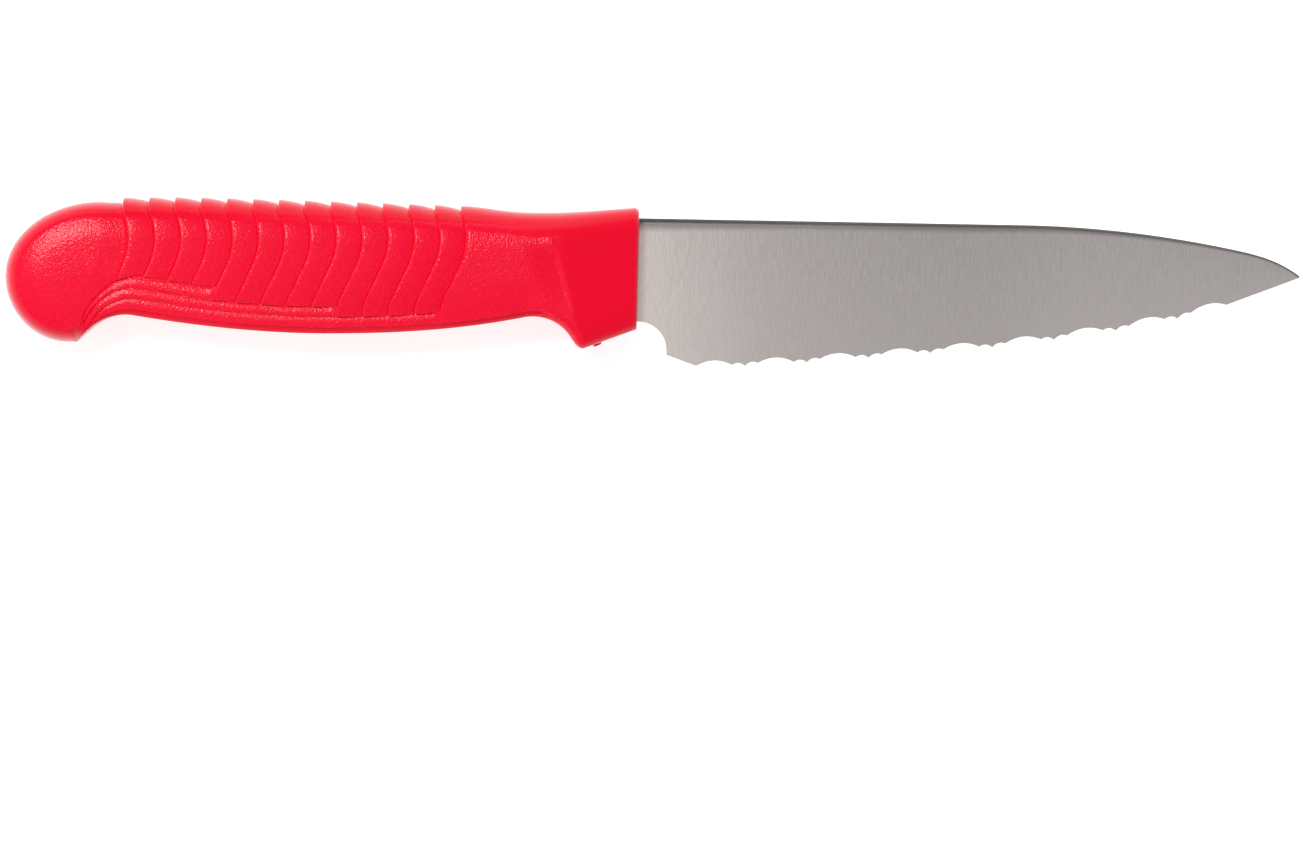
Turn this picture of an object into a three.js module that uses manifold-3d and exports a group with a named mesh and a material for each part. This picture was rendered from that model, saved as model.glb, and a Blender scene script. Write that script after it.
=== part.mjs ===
// Serrated paring knife: a stamped and ground steel blade with a perforated tang,
// held in a one-piece moulded handle.
// Millimetres. The knife lies on its side: +X runs to the tip, +Y to the spine, +Z up.
// While it is drawn, x = 0 is the front of the handle, y = 0 is the spine line where
// it meets the handle, and z = 0 is the middle plane of the blade.

import * as THREE from 'three';
import { mergeVertices } from 'three/addons/utils/BufferGeometryUtils.js';
import Module from 'manifold-3d';

// Fit between the blade and its moulding
const clearance = 0.3;

// Handle: overall
const handleLength = 109.1;
const handleThickness = 15.6;
const frontThickness = 11.2;
const rimWidth = 4.2;
const frontEdgeRadius = 0.9;
const frontLean = 0.024;

// Handle: butt, two quarter ellipses that meet at its rearmost point
const buttEndDrop = 9.95;
const buttTopReach = 16.5;
const buttTopRise = 12.85;
const buttLowReach = 11.0;
const buttLowFall = 11.27;

// Handle: top line, as heights above the spine line
const crownFromButt = 31;
const crownRise = 3.0;
const gripBack = 54;
const gripRise = 2.35;
const waistBack = 31;
const waistRise = 1.55;
const neckBack = 14.5;
const neckRise = 1.02;
const frontRise = 1.9;

// Handle: lower line, as depths below the spine line
const hollowFromButt = 20.9;
const hollowDrop = 16.48;
const hollowRadius = 9.1;
const hollowRunout = 1.5;
const bellyBack = 53;
const bellyDrop = 19.7;
const grooveBack = 18.65;
const grooveDrop = 16.75;
const grooveRadius = 8.75;
const grooveRunout = 1.5;
const frontDrop = 18.9;
const chinSlope = 0.36;
const cornerBlend = 2;

// Handle: scale ridges across the grip
const firstRidgeFromButt = 20.3;
const ridgePitch = 4.457;
const ridgeEndBack = 30.5;
const ridgeStep = 0.4;
const ridgeStepOnTop = 0.67;
const ridgeRiser = 0.4;
const ridgeFallPower = 1.7;
const lastScaleRun = 2.2;
const buttDip = 0.2;
const buttDipLength = 5;
// How far a ridge leans forward at each depth below the spine line: [depth, lean]
const ridgeLean = [
  [-2.4, 0.05], [-0.8, 0.36], [0.6, 0.95], [3.7, 1.32], [6.8, 0.78], [10.3, -0.78], [14.1, -2.6],
  [15.5, -3.05],
];

// Handle: strips along the belly, as heights above the lower line
const stripHeights = [7.2, 4.9, 3.05, 1.2];
const stripStep = 0.35;
const stripRiser = 0.12;
const bellyFall = 1.0;
const chinRound = 1.0;
const chinFadeStart = 20;
const chinFadeEnd = 13;
// The ridge, counted from the butt, at which each upper strip ends
const stripEndRidges = [5, 10];
// How the band of strips widens from the hook: [distance from the hook, height]
const hookFan = [
  [0, 1.8], [0.5, 3.0], [1.4, 4.05], [3, 4.85], [5.7, 5.86], [8.6, 6.72], [10.7, stripHeights[0]],
];

// Handle: bolster, from a leaning edge to the front face
const bolsterTopBack = 15.7;
const bolsterLean = 0.282;

// Handle: gate mark under the chin
const gateBack = 7.1;
const gateRadius = 0.8;
const gateHeight = 0.3;

// Blade: stock and outline
const bladeLength = 113.96;
const stockThickness = 1.5;
const edgeThickness = 0.4;
const spineRound = 1.0;
const spineSlope = 0.0178;
const sweepLength = 48;
const sweepRadius = 187;
const noseLength = 11;
const noseDrop = 1.75;
const tipBlunt = 0.35;

// Blade: heel notch
const heelDepth = 17.8;
const notchRadius = 4.87;
const heelCornerDepth = 23.57;

// Blade: teeth, one large scallop between pairs of small ones
const firstToothX = 10.02;
const toothPitch = 10.65;
const largeScallop = 6.2;
const largeScallopRise = 0.84;
const smallScallopRise = 0.42;
// How far the small teeth stay behind the main ones, before them (at the heel, at the tip) and after
const recessBefore = [0.18, 0.45];
const recessAfter = 0.4;
const plainTipLength = 11.8;
const bevelSlope = 3.3;
// Depth of the tooth line near the heel, as [distance from the handle, depth]
const toothLineHeel = [[firstToothX, 25.44], [18.45, 25.43], [29.14, 24.82]];
// and towards the tip, as [distance back from the tip, depth]
const toothLineTip = [[52.93, 22.24], [31.73, 19.38], [21.04, 17.32], [12.54, 14.92]];

// Tang, inside the handle
const tangLength = 64;
const shoulderLength = 5;
const tangOverlap = 1;
const tangTopDrop = 3.6;
const tangHeight = 10.8;
const tangEndHeight = 8;
const tangHoleDiameter = 5;
const tangHoleBacks = [22, 46];

// Fineness of the facets
const topRows = 4;
const middleRows = 6;
const arcSteps = 6;
const spineSteps = 3;
const fanSteps = 5;
const buttSteps = 28;
const outlineStep = 0.8;
const buttShares = [0.019, 0.075, 0.175, 0.31, 0.5, 0.69];
const plateauShares = [0.2, 0.4, 0.55, 0.68, 0.78, 0.86, 0.92, 0.965];
const bolsterShares = [0.2, 0.45, 0.7];
const blankShares = [0, 0.1, 0.3, 0.5, 0.6, 0.67, 0.74, 0.8, 0.86, 0.91, 0.95, 0.97, 0.985];
const undersideLevels = [0.012, 0.05, 0.11];
const rimRowLimit = 0.98;

// Allowances for cutting and for rounding errors
const pastFront = 4;
const cutterDepth = 60;
const weldDistance = 1e-4;
const halvings = 40;
const settlings = 6;
const tiny = 1e-6;

// Values that follow from the sizes
const buttX = -handleLength;
const buttY = -buttEndDrop;
const hollowX = buttX + hollowFromButt;
const firstRidgeX = buttX + firstRidgeFromButt;
const lastRidge = Math.floor((-ridgeEndBack - firstRidgeX) / ridgePitch);
const bodyHalf = handleThickness / 2 - ridgeStep;
const tipY = spineY(bladeLength);

// Small helpers

function clamp01(t) {
  return Math.min(1, Math.max(0, t));
}

function smooth(t) {
  const c = clamp01(t);
  return c * c * (3 - 2 * c);
}

function mix(a, b, t) {
  return a + (b - a) * t;
}

// Larger of two heights, with the corner between them rounded off
function softMax(a, b, blend) {
  const overlap = Math.max(blend - Math.abs(a - b), 0) / blend;
  return Math.max(a, b) + overlap * overlap * blend / 4;
}

// Cubic from one end's height and slope to the other's
function hermite(x0, y0, m0, x1, y1, m1, x) {
  const w = x1 - x0;
  const t = (x - x0) / w;
  const s = 1 - t;
  return (1 + 2 * t) * s * s * y0 + t * s * s * w * m0 + t * t * (3 - 2 * t) * y1 - t * t * s * w * m1;
}

// Smooth height curve through a few points
function curveThrough(points) {
  const slopes = points.map((p, i) => {
    const a = points[Math.max(i - 1, 0)];
    const b = points[Math.min(i + 1, points.length - 1)];
    return (b[1] - a[1]) / (b[0] - a[0]);
  });
  return (x) => {
    let i = 0;
    while (i < points.length - 2 && x > points[i + 1][0]) i += 1;
    const [a, b] = [points[i], points[i + 1]];
    const inside = Math.min(b[0], Math.max(a[0], x));
    return hermite(a[0], a[1], slopes[i], b[0], b[1], slopes[i + 1], inside);
  };
}

// Value of t between low and high at which a rising function reaches a target
function solve(rising, target, low, high) {
  let [a, b] = [low, high];
  for (let i = 0; i < halvings; i += 1) {
    const m = (a + b) / 2;
    if (rising(m) < target) a = m;
    else b = m;
  }
  return (a + b) / 2;
}

// Side outline of the handle

const topCurve = curveThrough([
  [buttX + buttTopReach, buttY + buttTopRise],
  [buttX + crownFromButt, crownRise],
  [-gripBack, gripRise],
  [-waistBack, waistRise],
  [-neckBack, neckRise],
  [0, frontRise],
]);

function quarterEllipse(x, reach, height) {
  const t = clamp01(1 - (x - buttX) / reach);
  return height * Math.sqrt(1 - t * t);
}

function topY(x) {
  if (x < buttX + buttTopReach) return buttY + quarterEllipse(x, buttTopReach, buttTopRise);
  return topCurve(x);
}

// Upper edge of a round hollow that cuts into the lower line
function hollowY(x, centreX, drop, radius) {
  const inside = radius * radius - (x - centreX) ** 2;
  return inside > 0 ? -drop - radius + Math.sqrt(inside) : -Infinity;
}

function hollowSlope(offset, radius) {
  return -offset / Math.sqrt(radius * radius - offset * offset);
}

const bellyStartX = hollowX + hollowRunout;
const bellyEndX = -grooveBack - grooveRunout;
const behindHollow = (x) => hollowY(x, hollowX, hollowDrop, hollowRadius);
const fingerGroove = (x) => hollowY(x, -grooveBack, grooveDrop, grooveRadius);

function bottomY(x) {
  if (x < hollowX) {
    return softMax(buttY - quarterEllipse(x, buttLowReach, buttLowFall), behindHollow(x), cornerBlend);
  }
  if (x < bellyStartX) return behindHollow(x);
  if (x < -bellyBack) {
    const slope = hollowSlope(hollowRunout, hollowRadius);
    return hermite(bellyStartX, behindHollow(bellyStartX), slope, -bellyBack, -bellyDrop, 0, x);
  }
  if (x < bellyEndX) {
    const slope = hollowSlope(-grooveRunout, grooveRadius);
    return hermite(-bellyBack, -bellyDrop, 0, bellyEndX, fingerGroove(bellyEndX), slope, x);
  }
  if (x < -grooveBack) return fingerGroove(x);
  return softMax(fingerGroove(x), chinSlope * x - frontDrop, cornerBlend);
}

// Tip of the hook, where the butt meets the hollow behind the little finger
const hookDepth = buttLowFall + buttEndDrop - hollowDrop - hollowRadius;
const hookX = hollowX - Math.sqrt(hollowRadius ** 2 - hookDepth ** 2);

// Outlines as chains of points, for measuring distances
function sampled(f, from, to, step) {
  const count = Math.ceil((to - from) / step);
  return Array.from({ length: count + 1 }, (_, i) => {
    const x = mix(from, to, i / count);
    return new THREE.Vector2(x, f(x));
  });
}

function buttChain(f, toX) {
  return Array.from({ length: buttSteps + 1 }, (_, i) => {
    const turn = (i / buttSteps) * Math.PI / 2;
    const x = mix(toX, buttX, Math.cos(turn));
    return new THREE.Vector2(x, f(x));
  });
}

const topOutline = [
  ...buttChain(bottomY, hookX).reverse(),
  ...buttChain(topY, buttX + buttTopReach).slice(1),
  ...sampled(topY, buttX + buttTopReach, 0, outlineStep).slice(1),
  new THREE.Vector2(pastFront, frontRise),
];
const bellyOutline = [
  ...sampled(bottomY, hookX, 0, outlineStep / 2),
  new THREE.Vector2(pastFront, chinSlope * pastFront - frontDrop),
];

// Distance from a point to an outline, and the direction out through it
function reach(outline, side, x, y) {
  const best = { distance: Infinity, outX: 0, outY: 0 };
  for (let i = 1; i < outline.length; i += 1) {
    const [a, b] = [outline[i - 1], outline[i]];
    const alongX = b.x - a.x;
    const alongY = b.y - a.y;
    const square = alongX * alongX + alongY * alongY;
    const t = clamp01(((x - a.x) * alongX + (y - a.y) * alongY) / square);
    const distance = Math.hypot(x - a.x - t * alongX, y - a.y - t * alongY);
    if (distance < best.distance) {
      const length = Math.sqrt(square);
      best.distance = distance;
      best.outX = -side * alongY / length;
      best.outY = side * alongX / length;
    }
  }
  return best;
}

// Height of the band of strips at each place along the handle: they fan out from the hook
const fanHeight = curveThrough(hookFan);
const bandHeight = (x) => fanHeight(x - hookX);

// Height of the rounded underside below the lowest strip's lip, wider under the chin
function undersideHeight(x) {
  const lip = bandHeight(x) * stripLevels[stripLevels.length - 1];
  return mix(lip, chinRound, chinShare(x));
}

// 0 along the belly, 1 under the chin
function chinShare(x) {
  return smooth((x + chinFadeStart) / (chinFadeStart - chinFadeEnd));
}

// Relief of the moulding: ridges over the grip, strips along the belly

const leanAtDepth = curveThrough(ridgeLean);
const stripLevels = stripHeights.map((height) => height / stripHeights[0]);
const stripEnds = [...stripEndRidges.map((n) => Math.min(n - 1, lastRidge)), lastRidge];

function bolsterX(y) {
  return -bolsterTopBack - bolsterLean * (y - neckRise);
}

function frontX(y) {
  return frontLean * (y + heelDepth / 2);
}

// Strip above which the ridges of one scale stop
function lowerStrip(scale) {
  return stripEnds.filter((end) => scale >= end).length;
}

function stripRelief(level, upperRelief, firstStrip, fade) {
  let strip = stripLevels.length - 1;
  while (strip > firstStrip && level > stripLevels[strip]) strip -= 1;
  const below = stripLevels[strip + 1] ?? 0;
  const t = (stripLevels[strip] - level) / (stripLevels[strip] - below);
  const from = strip === firstStrip ? upperRelief : 0;
  if (t < stripRiser) return mix(from, -stripStep * fade, t / stripRiser);
  return mix(-stripStep * fade, 0, (t - stripRiser) / (1 - stripRiser));
}

function scaleRelief(scale, along, place) {
  const top = place.topShare * place.topShare;
  if (scale < 0) return -buttDip * smooth(1 + (along - 1) * ridgePitch / buttDipLength);
  const isLast = scale >= lastRidge;
  const fall = clamp01(isLast ? along / lastScaleRun : along) ** ridgeFallPower;
  const sideFall = isLast ? 0 : fall;
  return mix(ridgeStep * (1 - sideFall), ridgeStepOnTop * (1 - fall), top);
}

function reliefBeside(scale, along, place) {
  const firstStrip = lowerStrip(scale);
  const upper = scaleRelief(scale, along, place);
  if (place.level >= stripLevels[firstStrip]) return upper;
  return stripRelief(place.level, upper, firstStrip, place.stripFade);
}

function relief(place) {
  const riser = ridgeRiser / ridgePitch;
  const s = (place.x - leanAtDepth(-place.y) - firstRidgeX) / ridgePitch;
  const scale = Math.min(Math.max(Math.floor(s + tiny), -1), lastRidge);
  const along = scale < 0 ? s + 1 : s - scale;
  if (scale >= 0 && along < riser) {
    const before = reliefBeside(scale - 1, 1, place);
    const after = reliefBeside(scale, 0, place);
    return mix(before, after, (along + tiny) / riser);
  }
  return reliefBeside(scale, scale < 0 ? along : (along - riser) / (1 - riser), place);
}

// Rise of a quarter-round edge: its height share and slope at a distance from the outline
function quarterRound(distance, width) {
  const cos = clamp01(1 - distance / width);
  const sin = Math.sqrt(1 - cos * cos);
  return { cos, share: sin, slope: cos / (width * Math.max(sin, tiny)) };
}

// Point of the moulded surface above a place in the side view
function surfacePoint(x, y, inset) {
  const toRim = reach(topOutline, 1, x, y);
  const toBelly = reach(bellyOutline, -1, x, y);
  const rim = quarterRound(toRim.distance, rimWidth);
  const behindHook = x < hookX;
  const under = quarterRound(behindHook ? Infinity : toBelly.distance, undersideHeight(x));
  const level = behindHook ? 2 : toBelly.distance / bandHeight(x);
  const fallen = clamp01(1 - level) * (1 - chinShare(x));
  const taper = clamp01((x - bolsterX(y)) / (frontX(y) - bolsterX(y)));
  const half = mix(bodyHalf, frontThickness / 2 - ridgeStep, taper) - bellyFall * fallen * fallen;
  const z = half * rim.share * under.share;
  const rimSlope = half * under.share * rim.slope;
  const underSlope = half * rim.share * under.slope + 2 * bellyFall * fallen / bandHeight(x);
  const normal = new THREE.Vector3(
    toRim.outX * rimSlope + toBelly.outX * underSlope,
    toRim.outY * rimSlope + toBelly.outY * underSlope,
    1,
  ).normalize();
  const stripFade = 1 - smooth((x + grooveBack) / (grooveBack - bolsterTopBack + grooveRunout));
  const rise = relief({ x, y, level, stripFade, topShare: rim.cos });
  return new THREE.Vector3(x, y, z).addScaledVector(normal, rise - inset);
}

// Columns of the handle's surface: each is a line down the side view, x as a function of y

function ridgeColumn(s) {
  const x0 = firstRidgeX + s * ridgePitch;
  const scale = Math.floor(s + tiny);
  const limit = bottomY(x0) + stripHeights[lowerStrip(scale)];
  return { x: (y) => x0 + leanAtDepth(-Math.max(y, limit)), inset: 0 };
}

function buttColumn(x0, lean) {
  const limit = bottomY(x0) + stripHeights[0];
  return { x: (y) => x0 + lean * leanAtDepth(-Math.max(y, limit)), inset: 0 };
}

function between(a, b, t) {
  return { x: (y) => mix(a.x(y), b.x(y), t), inset: 0 };
}

function handleColumns() {
  const columns = [];
  for (const share of buttShares) columns.push(buttColumn(buttX + share * buttTopReach, 0));
  columns.push(buttColumn(hookX - cornerBlend, 0), buttColumn(hookX, 0));
  for (let i = 1; i < fanSteps; i += 1) {
    const t = i / fanSteps;
    columns.push(buttColumn(mix(hookX, firstRidgeX, t), t));
  }
  const riser = ridgeRiser / ridgePitch;
  for (let n = 0; n <= lastRidge; n += 1) {
    columns.push(ridgeColumn(n));
    columns.push(ridgeColumn(n + riser));
    if (n < lastRidge) columns.push(ridgeColumn(n + 0.5));
  }
  const lastColumn = columns[columns.length - 1];
  const bolster = { x: bolsterX, inset: 0 };
  for (const share of plateauShares) columns.push(between(lastColumn, bolster, share));
  columns.push(bolster);
  const edgeStart = { x: (y) => frontX(y) - frontEdgeRadius, inset: 0 };
  for (const share of bolsterShares) columns.push(between(bolster, edgeStart, share));
  const diagonal = frontEdgeRadius * (1 - Math.SQRT1_2);
  columns.push(edgeStart);
  columns.push({ x: (y) => frontX(y) - diagonal, inset: diagonal });
  columns.push({ x: frontX, inset: frontEdgeRadius });
  return columns;
}

// Heights of the rows on one column, from the top line to the lower line
function rowHeights(column) {
  let high = topY(column.x(0));
  for (let i = 0; i < settlings; i += 1) high = topY(column.x(high));
  let low = bottomY(column.x(buttY * 2));
  for (let i = 0; i < settlings; i += 1) low = bottomY(column.x(low));
  const rear = column.x(low) < hookX;
  const middle = (high + low) / 2;
  const toTop = (y) => reach(topOutline, 1, column.x(y), y).distance;
  const rim = Math.min(rimWidth, toTop(middle) * rimRowLimit);
  const rimDepth = (i, count) => rim * (1 - Math.cos((i / count) * Math.PI / 2));
  const heights = [high];
  for (let i = 1; i <= topRows; i += 1) {
    heights.push(solve((y) => -toTop(y), -rimDepth(i, topRows), middle, high));
  }
  const levels = bellyLevels();
  const lowHeights = levels.map((level, i) => {
    if (rear) return solve(toTop, rimDepth(i + 1, levels.length), low, middle);
    const bandLevel = (y) => reach(bellyOutline, -1, column.x(y), y).distance / bandHeight(column.x(y));
    return solve(bandLevel, level, low, high - rim);
  });
  const crease = heights[topRows];
  const start = lowHeights[levels.length - 1];
  for (let i = 1; i <= middleRows; i += 1) heights.push(mix(crease, start, i / (middleRows + 1)));
  return [...heights, ...lowHeights.reverse(), low];
}

// Rows of the belly, as shares of the band's height: two along each strip's upper edge
function bellyLevels() {
  const edges = stripLevels.flatMap((level, i) => {
    const below = stripLevels[i + 1] ?? 0;
    return [level, level - stripRiser * (level - below)];
  });
  return [...undersideLevels, ...edges.reverse()];
}

// Closed skin over rings of points: a pole at the butt, a flat face at the front
function handleSkin() {
  const rings = handleColumns().map((column) => {
    const near = rowHeights(column).map((y) => surfacePoint(column.x(y), y, column.inset));
    near[0].z = 0;
    near[near.length - 1].z = 0;
    const far = near.slice(1, -1).reverse().map((p) => new THREE.Vector3(p.x, p.y, -p.z));
    return [...near, ...far];
  });
  const size = rings[0].length;
  const points = [new THREE.Vector3(buttX, buttY, 0), ...rings.flat()];
  const index = [];
  const at = (i, j) => 1 + i * size + (j + size) % size;
  for (let j = 0; j < size; j += 1) index.push(0, at(0, j + 1), at(0, j));
  for (let i = 0; i + 1 < rings.length; i += 1) {
    for (let j = 0; j < size; j += 1) {
      index.push(at(i, j), at(i, j + 1), at(i + 1, j + 1));
      index.push(at(i, j), at(i + 1, j + 1), at(i + 1, j));
    }
  }
  const last = rings.length - 1;
  for (let j = 0; j < size / 2; j += 1) {
    if (j > 0) index.push(at(last, -j), at(last, j), at(last, j + 1));
    if (j + 1 < size / 2) index.push(at(last, -j), at(last, j + 1), at(last, -j - 1));
  }
  const geometry = new THREE.BufferGeometry().setFromPoints(points);
  geometry.setIndex(index);
  return geometry;
}

// Blade

function spineY(x) {
  const sweep = Math.max(0, x - (bladeLength - sweepLength));
  const nose = Math.max(0, x - (bladeLength - noseLength)) / noseLength;
  return -spineSlope * x - sweep * sweep / (2 * sweepRadius) - noseDrop * nose ** 3;
}

const toothLine = curveThrough([
  ...toothLineHeel.map(([x, depth]) => [x, -depth]),
  ...toothLineTip.map(([back, depth]) => [bladeLength - back, -depth]),
]);

const smallScallop = (toothPitch - largeScallop) / 2;
const serratedLength = bladeLength - plainTipLength - firstToothX;
const toothPitches = Math.floor((serratedLength - largeScallop) / toothPitch);
const lastToothX = firstToothX + toothPitches * toothPitch + largeScallop;

// Line that the teeth touch, and the plain edge from the last tooth to the tip
function edgeY(x) {
  if (x < lastToothX) return toothLine(x);
  const t = (x - lastToothX) / (bladeLength - lastToothX);
  return mix(toothLine(lastToothX), tipY - tipBlunt, t);
}

// Ground blank from inside the handle to the tip: the spine is rounded, and the two flat
// faces close in towards the edge. A grown copy makes the mouth that it sits in.
function bladeBlank(fromX, toX, lowLine, grow) {
  const fullHeight = spineY(firstToothX) - edgeY(firstToothX);
  const inner = blankShares.map((share) => share * bladeLength).filter((x) => x > fromX && x < toX);
  const turns = Array.from({ length: spineSteps + 1 }, (_, i) => (i / spineSteps) * Math.PI / 2);
  const rings = [fromX, ...inner, toX].map((x) => {
    const height = spineY(x) - edgeY(x);
    const half = mix(edgeThickness, stockThickness, height / fullHeight) / 2;
    const round = spineRound * height / fullHeight;
    const near = turns.map((turn) => [
      spineY(x) + grow - round * (1 - Math.cos(turn)),
      (half + grow) * Math.sin(turn),
    ]);
    const low = lowLine(x);
    const lowHalf = mix(half, edgeThickness / 2, (spineY(x) - round - low) / (height - round)) + grow;
    const section = [...near, [low, lowHalf], [low, -lowHalf]];
    for (const [y, z] of near.slice(1).reverse()) section.push([y, -z]);
    return section.map(([y, z]) => new THREE.Vector3(x, y, z));
  });
  return skinOfRings(rings);
}

// Closed skin over a row of matching rings, with flat ends
function skinOfRings(rings) {
  const size = rings[0].length;
  const index = [];
  const at = (i, j) => i * size + (j + size) % size;
  for (let i = 0; i + 1 < rings.length; i += 1) {
    for (let j = 0; j < size; j += 1) {
      index.push(at(i, j), at(i, j + 1), at(i + 1, j + 1));
      index.push(at(i, j), at(i + 1, j + 1), at(i + 1, j));
    }
  }
  const last = rings.length - 1;
  for (let j = 1; j + 1 < size; j += 1) {
    index.push(at(0, 0), at(0, j + 1), at(0, j));
    index.push(at(last, 0), at(last, j), at(last, j + 1));
  }
  const geometry = new THREE.BufferGeometry().setFromPoints(rings.flat());
  geometry.setIndex(index);
  return geometry;
}

// Plate of a side-view shape, centred on the middle plane
function plate(shape, thickness, curveSegments) {
  const options = { depth: thickness, bevelEnabled: false, curveSegments };
  return new THREE.ExtrudeGeometry(shape, options).translate(0, 0, -thickness / 2);
}

const cutterThickness = 4 * stockThickness;

// What the heel notch takes away: the belly of the blank behind the heel
function notchCutter() {
  const shape = new THREE.Shape();
  shape.moveTo(-2 * shoulderLength, -heelDepth);
  shape.lineTo(0, -heelDepth);
  shape.absarc(0, -heelDepth - notchRadius, notchRadius, Math.PI / 2, 0, true);
  shape.lineTo(notchRadius, -cutterDepth);
  shape.lineTo(-2 * shoulderLength, -cutterDepth);
  return plate(shape, cutterThickness, 2 * arcSteps);
}

// Scallop from the current point of an outline, bowed up into the blade
function scallop(shape, x, y, rise) {
  const from = shape.currentPoint;
  shape.quadraticCurveTo((from.x + x) / 2, (from.y + y) / 2 + 2 * rise, x, y);
}

// What the edge grinding takes away. It is drawn on the near face and leans through
// the blade, so that the bevel and the hollows of the teeth lie on the far side only.
function edgeCutter() {
  const heelSlope = (toothLine(firstToothX) + heelCornerDepth) / (firstToothX - notchRadius);
  const shape = new THREE.Shape();
  shape.moveTo(0, -heelCornerDepth - heelSlope * notchRadius);
  shape.lineTo(firstToothX, toothLine(firstToothX));
  for (let i = 0; i <= toothPitches; i += 1) {
    const start = firstToothX + i * toothPitch;
    const end = start + largeScallop;
    const endRecess = i < toothPitches ? mix(...recessBefore, i / toothPitches) : 0;
    scallop(shape, end, toothLine(end) + endRecess, largeScallopRise);
    if (i < toothPitches) {
      const main = end + smallScallop;
      const next = start + toothPitch;
      scallop(shape, main, toothLine(main), smallScallopRise);
      scallop(shape, next, toothLine(next) + recessAfter, smallScallopRise);
    }
  }
  const beyond = bladeLength + noseLength;
  shape.lineTo(beyond, edgeY(beyond));
  shape.lineTo(beyond, -cutterDepth);
  shape.lineTo(0, -cutterDepth);
  const lean = new THREE.Matrix4().set(
    1, 0, 0, 0,
    0, 1, -bevelSlope, bevelSlope * edgeThickness / 2,
    0, 0, 1, 0,
    0, 0, 0, 1,
  );
  return plate(shape, cutterThickness, arcSteps).applyMatrix4(lean);
}

// Side-view shape of the tang, grown all round for its pocket
function tangShape(grow, holes) {
  const top = -tangTopDrop + grow;
  const low = -tangTopDrop - tangHeight - grow;
  const narrow = (tangHeight - tangEndHeight) / 2;
  const endRadius = tangEndHeight / 2 + grow;
  const endX = -tangLength + tangEndHeight / 2;
  const middle = (top + low) / 2;
  const shape = new THREE.Shape();
  shape.moveTo(-shoulderLength + tangOverlap, top);
  shape.lineTo(-shoulderLength - tangHeight, top);
  shape.lineTo(endX, top - narrow);
  shape.absarc(endX, middle, endRadius, Math.PI / 2, 1.5 * Math.PI, false);
  shape.lineTo(-shoulderLength - tangHeight, low);
  shape.lineTo(-shoulderLength + tangOverlap, low);
  if (holes) {
    for (const back of tangHoleBacks) {
      const hole = new THREE.Path();
      hole.absarc(-back, middle, tangHoleDiameter / 2, 0, 2 * Math.PI, true);
      shape.holes.push(hole);
    }
  }
  return shape;
}

// Joining and cutting

const wasm = await Module();
wasm.setup();

function solid(geometry) {
  const plain = geometry.clone();
  plain.deleteAttribute('normal');
  plain.deleteAttribute('uv');
  const merged = mergeVertices(plain, weldDistance);
  return new wasm.Manifold(new wasm.Mesh({
    numProp: 3,
    vertProperties: new Float32Array(merged.attributes.position.array),
    triVerts: new Uint32Array(merged.index.array),
  }));
}

function geometryOf(manifold) {
  const mesh = manifold.getMesh();
  const geometry = new THREE.BufferGeometry();
  geometry.setAttribute('position', new THREE.BufferAttribute(new Float32Array(mesh.vertProperties), 3));
  geometry.setIndex(new THREE.BufferAttribute(new Uint32Array(mesh.triVerts), 1));
  geometry.computeVertexNormals();
  return geometry;
}

function makeBlade() {
  const grindingStock = (x) => edgeY(x) - edgeThickness;
  const blank = solid(bladeBlank(-shoulderLength, bladeLength, grindingStock, 0));
  const tang = solid(plate(tangShape(0, true), stockThickness, 2 * arcSteps));
  return blank.subtract(solid(edgeCutter())).subtract(solid(notchCutter())).add(tang);
}

function makeHandle() {
  const mouthLow = () => -heelDepth - clearance;
  const mouth = solid(bladeBlank(-shoulderLength - clearance, pastFront, mouthLow, clearance));
  const pocket = solid(plate(tangShape(clearance, false), stockThickness + 2 * clearance, 2 * arcSteps));
  const pegRadius = tangHoleDiameter / 2 - clearance;
  const pegLength = stockThickness + 4 * clearance;
  let body = solid(handleSkin()).subtract(mouth).subtract(pocket);
  for (const back of tangHoleBacks) {
    const peg = new THREE.CylinderGeometry(pegRadius, pegRadius, pegLength, 4 * arcSteps);
    peg.rotateX(Math.PI / 2).translate(-back, -tangTopDrop - tangHeight / 2, 0);
    body = body.add(solid(peg));
  }
  return body.add(solid(gateMark()));
}

// Stub of the gate on the sloping face under the chin
function gateMark() {
  const sunk = 2 * gateHeight;
  const mark = new THREE.CylinderGeometry(gateRadius, gateRadius, gateHeight + sunk, 2 * arcSteps);
  mark.translate(0, (sunk - gateHeight) / 2, 0).rotateZ(Math.atan(chinSlope));
  return mark.translate(-gateBack, bottomY(-gateBack), 0);
}

// Assembly

const steel = new THREE.MeshStandardMaterial({ color: 0xa9a6a3, roughness: 0.35, metalness: 1 });
const redPlastic = new THREE.MeshStandardMaterial({ color: 0xf01e3c, roughness: 0.5, metalness: 0 });

const bladeMesh = new THREE.Mesh(geometryOf(makeBlade()), steel);
bladeMesh.name = 'blade';
const handleMesh = new THREE.Mesh(geometryOf(makeHandle()), redPlastic);
handleMesh.name = 'handle';

const knife = new THREE.Group();
knife.add(bladeMesh, handleMesh);

// The origin is under the middle of the knife, on the surface that it lies on
const box = new THREE.Box3().setFromObject(knife);
const centre = box.getCenter(new THREE.Vector3());
knife.position.set(-centre.x, -centre.y, -box.min.z);

export default knife;
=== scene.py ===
# Looks of the serrated paring knife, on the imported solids.
# Sizes are in millimetres in the side view of the knife: x = 0 is the front of the handle,
# y = 0 the spine line there, z = 0 the middle plane of the blade.

import math

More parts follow.
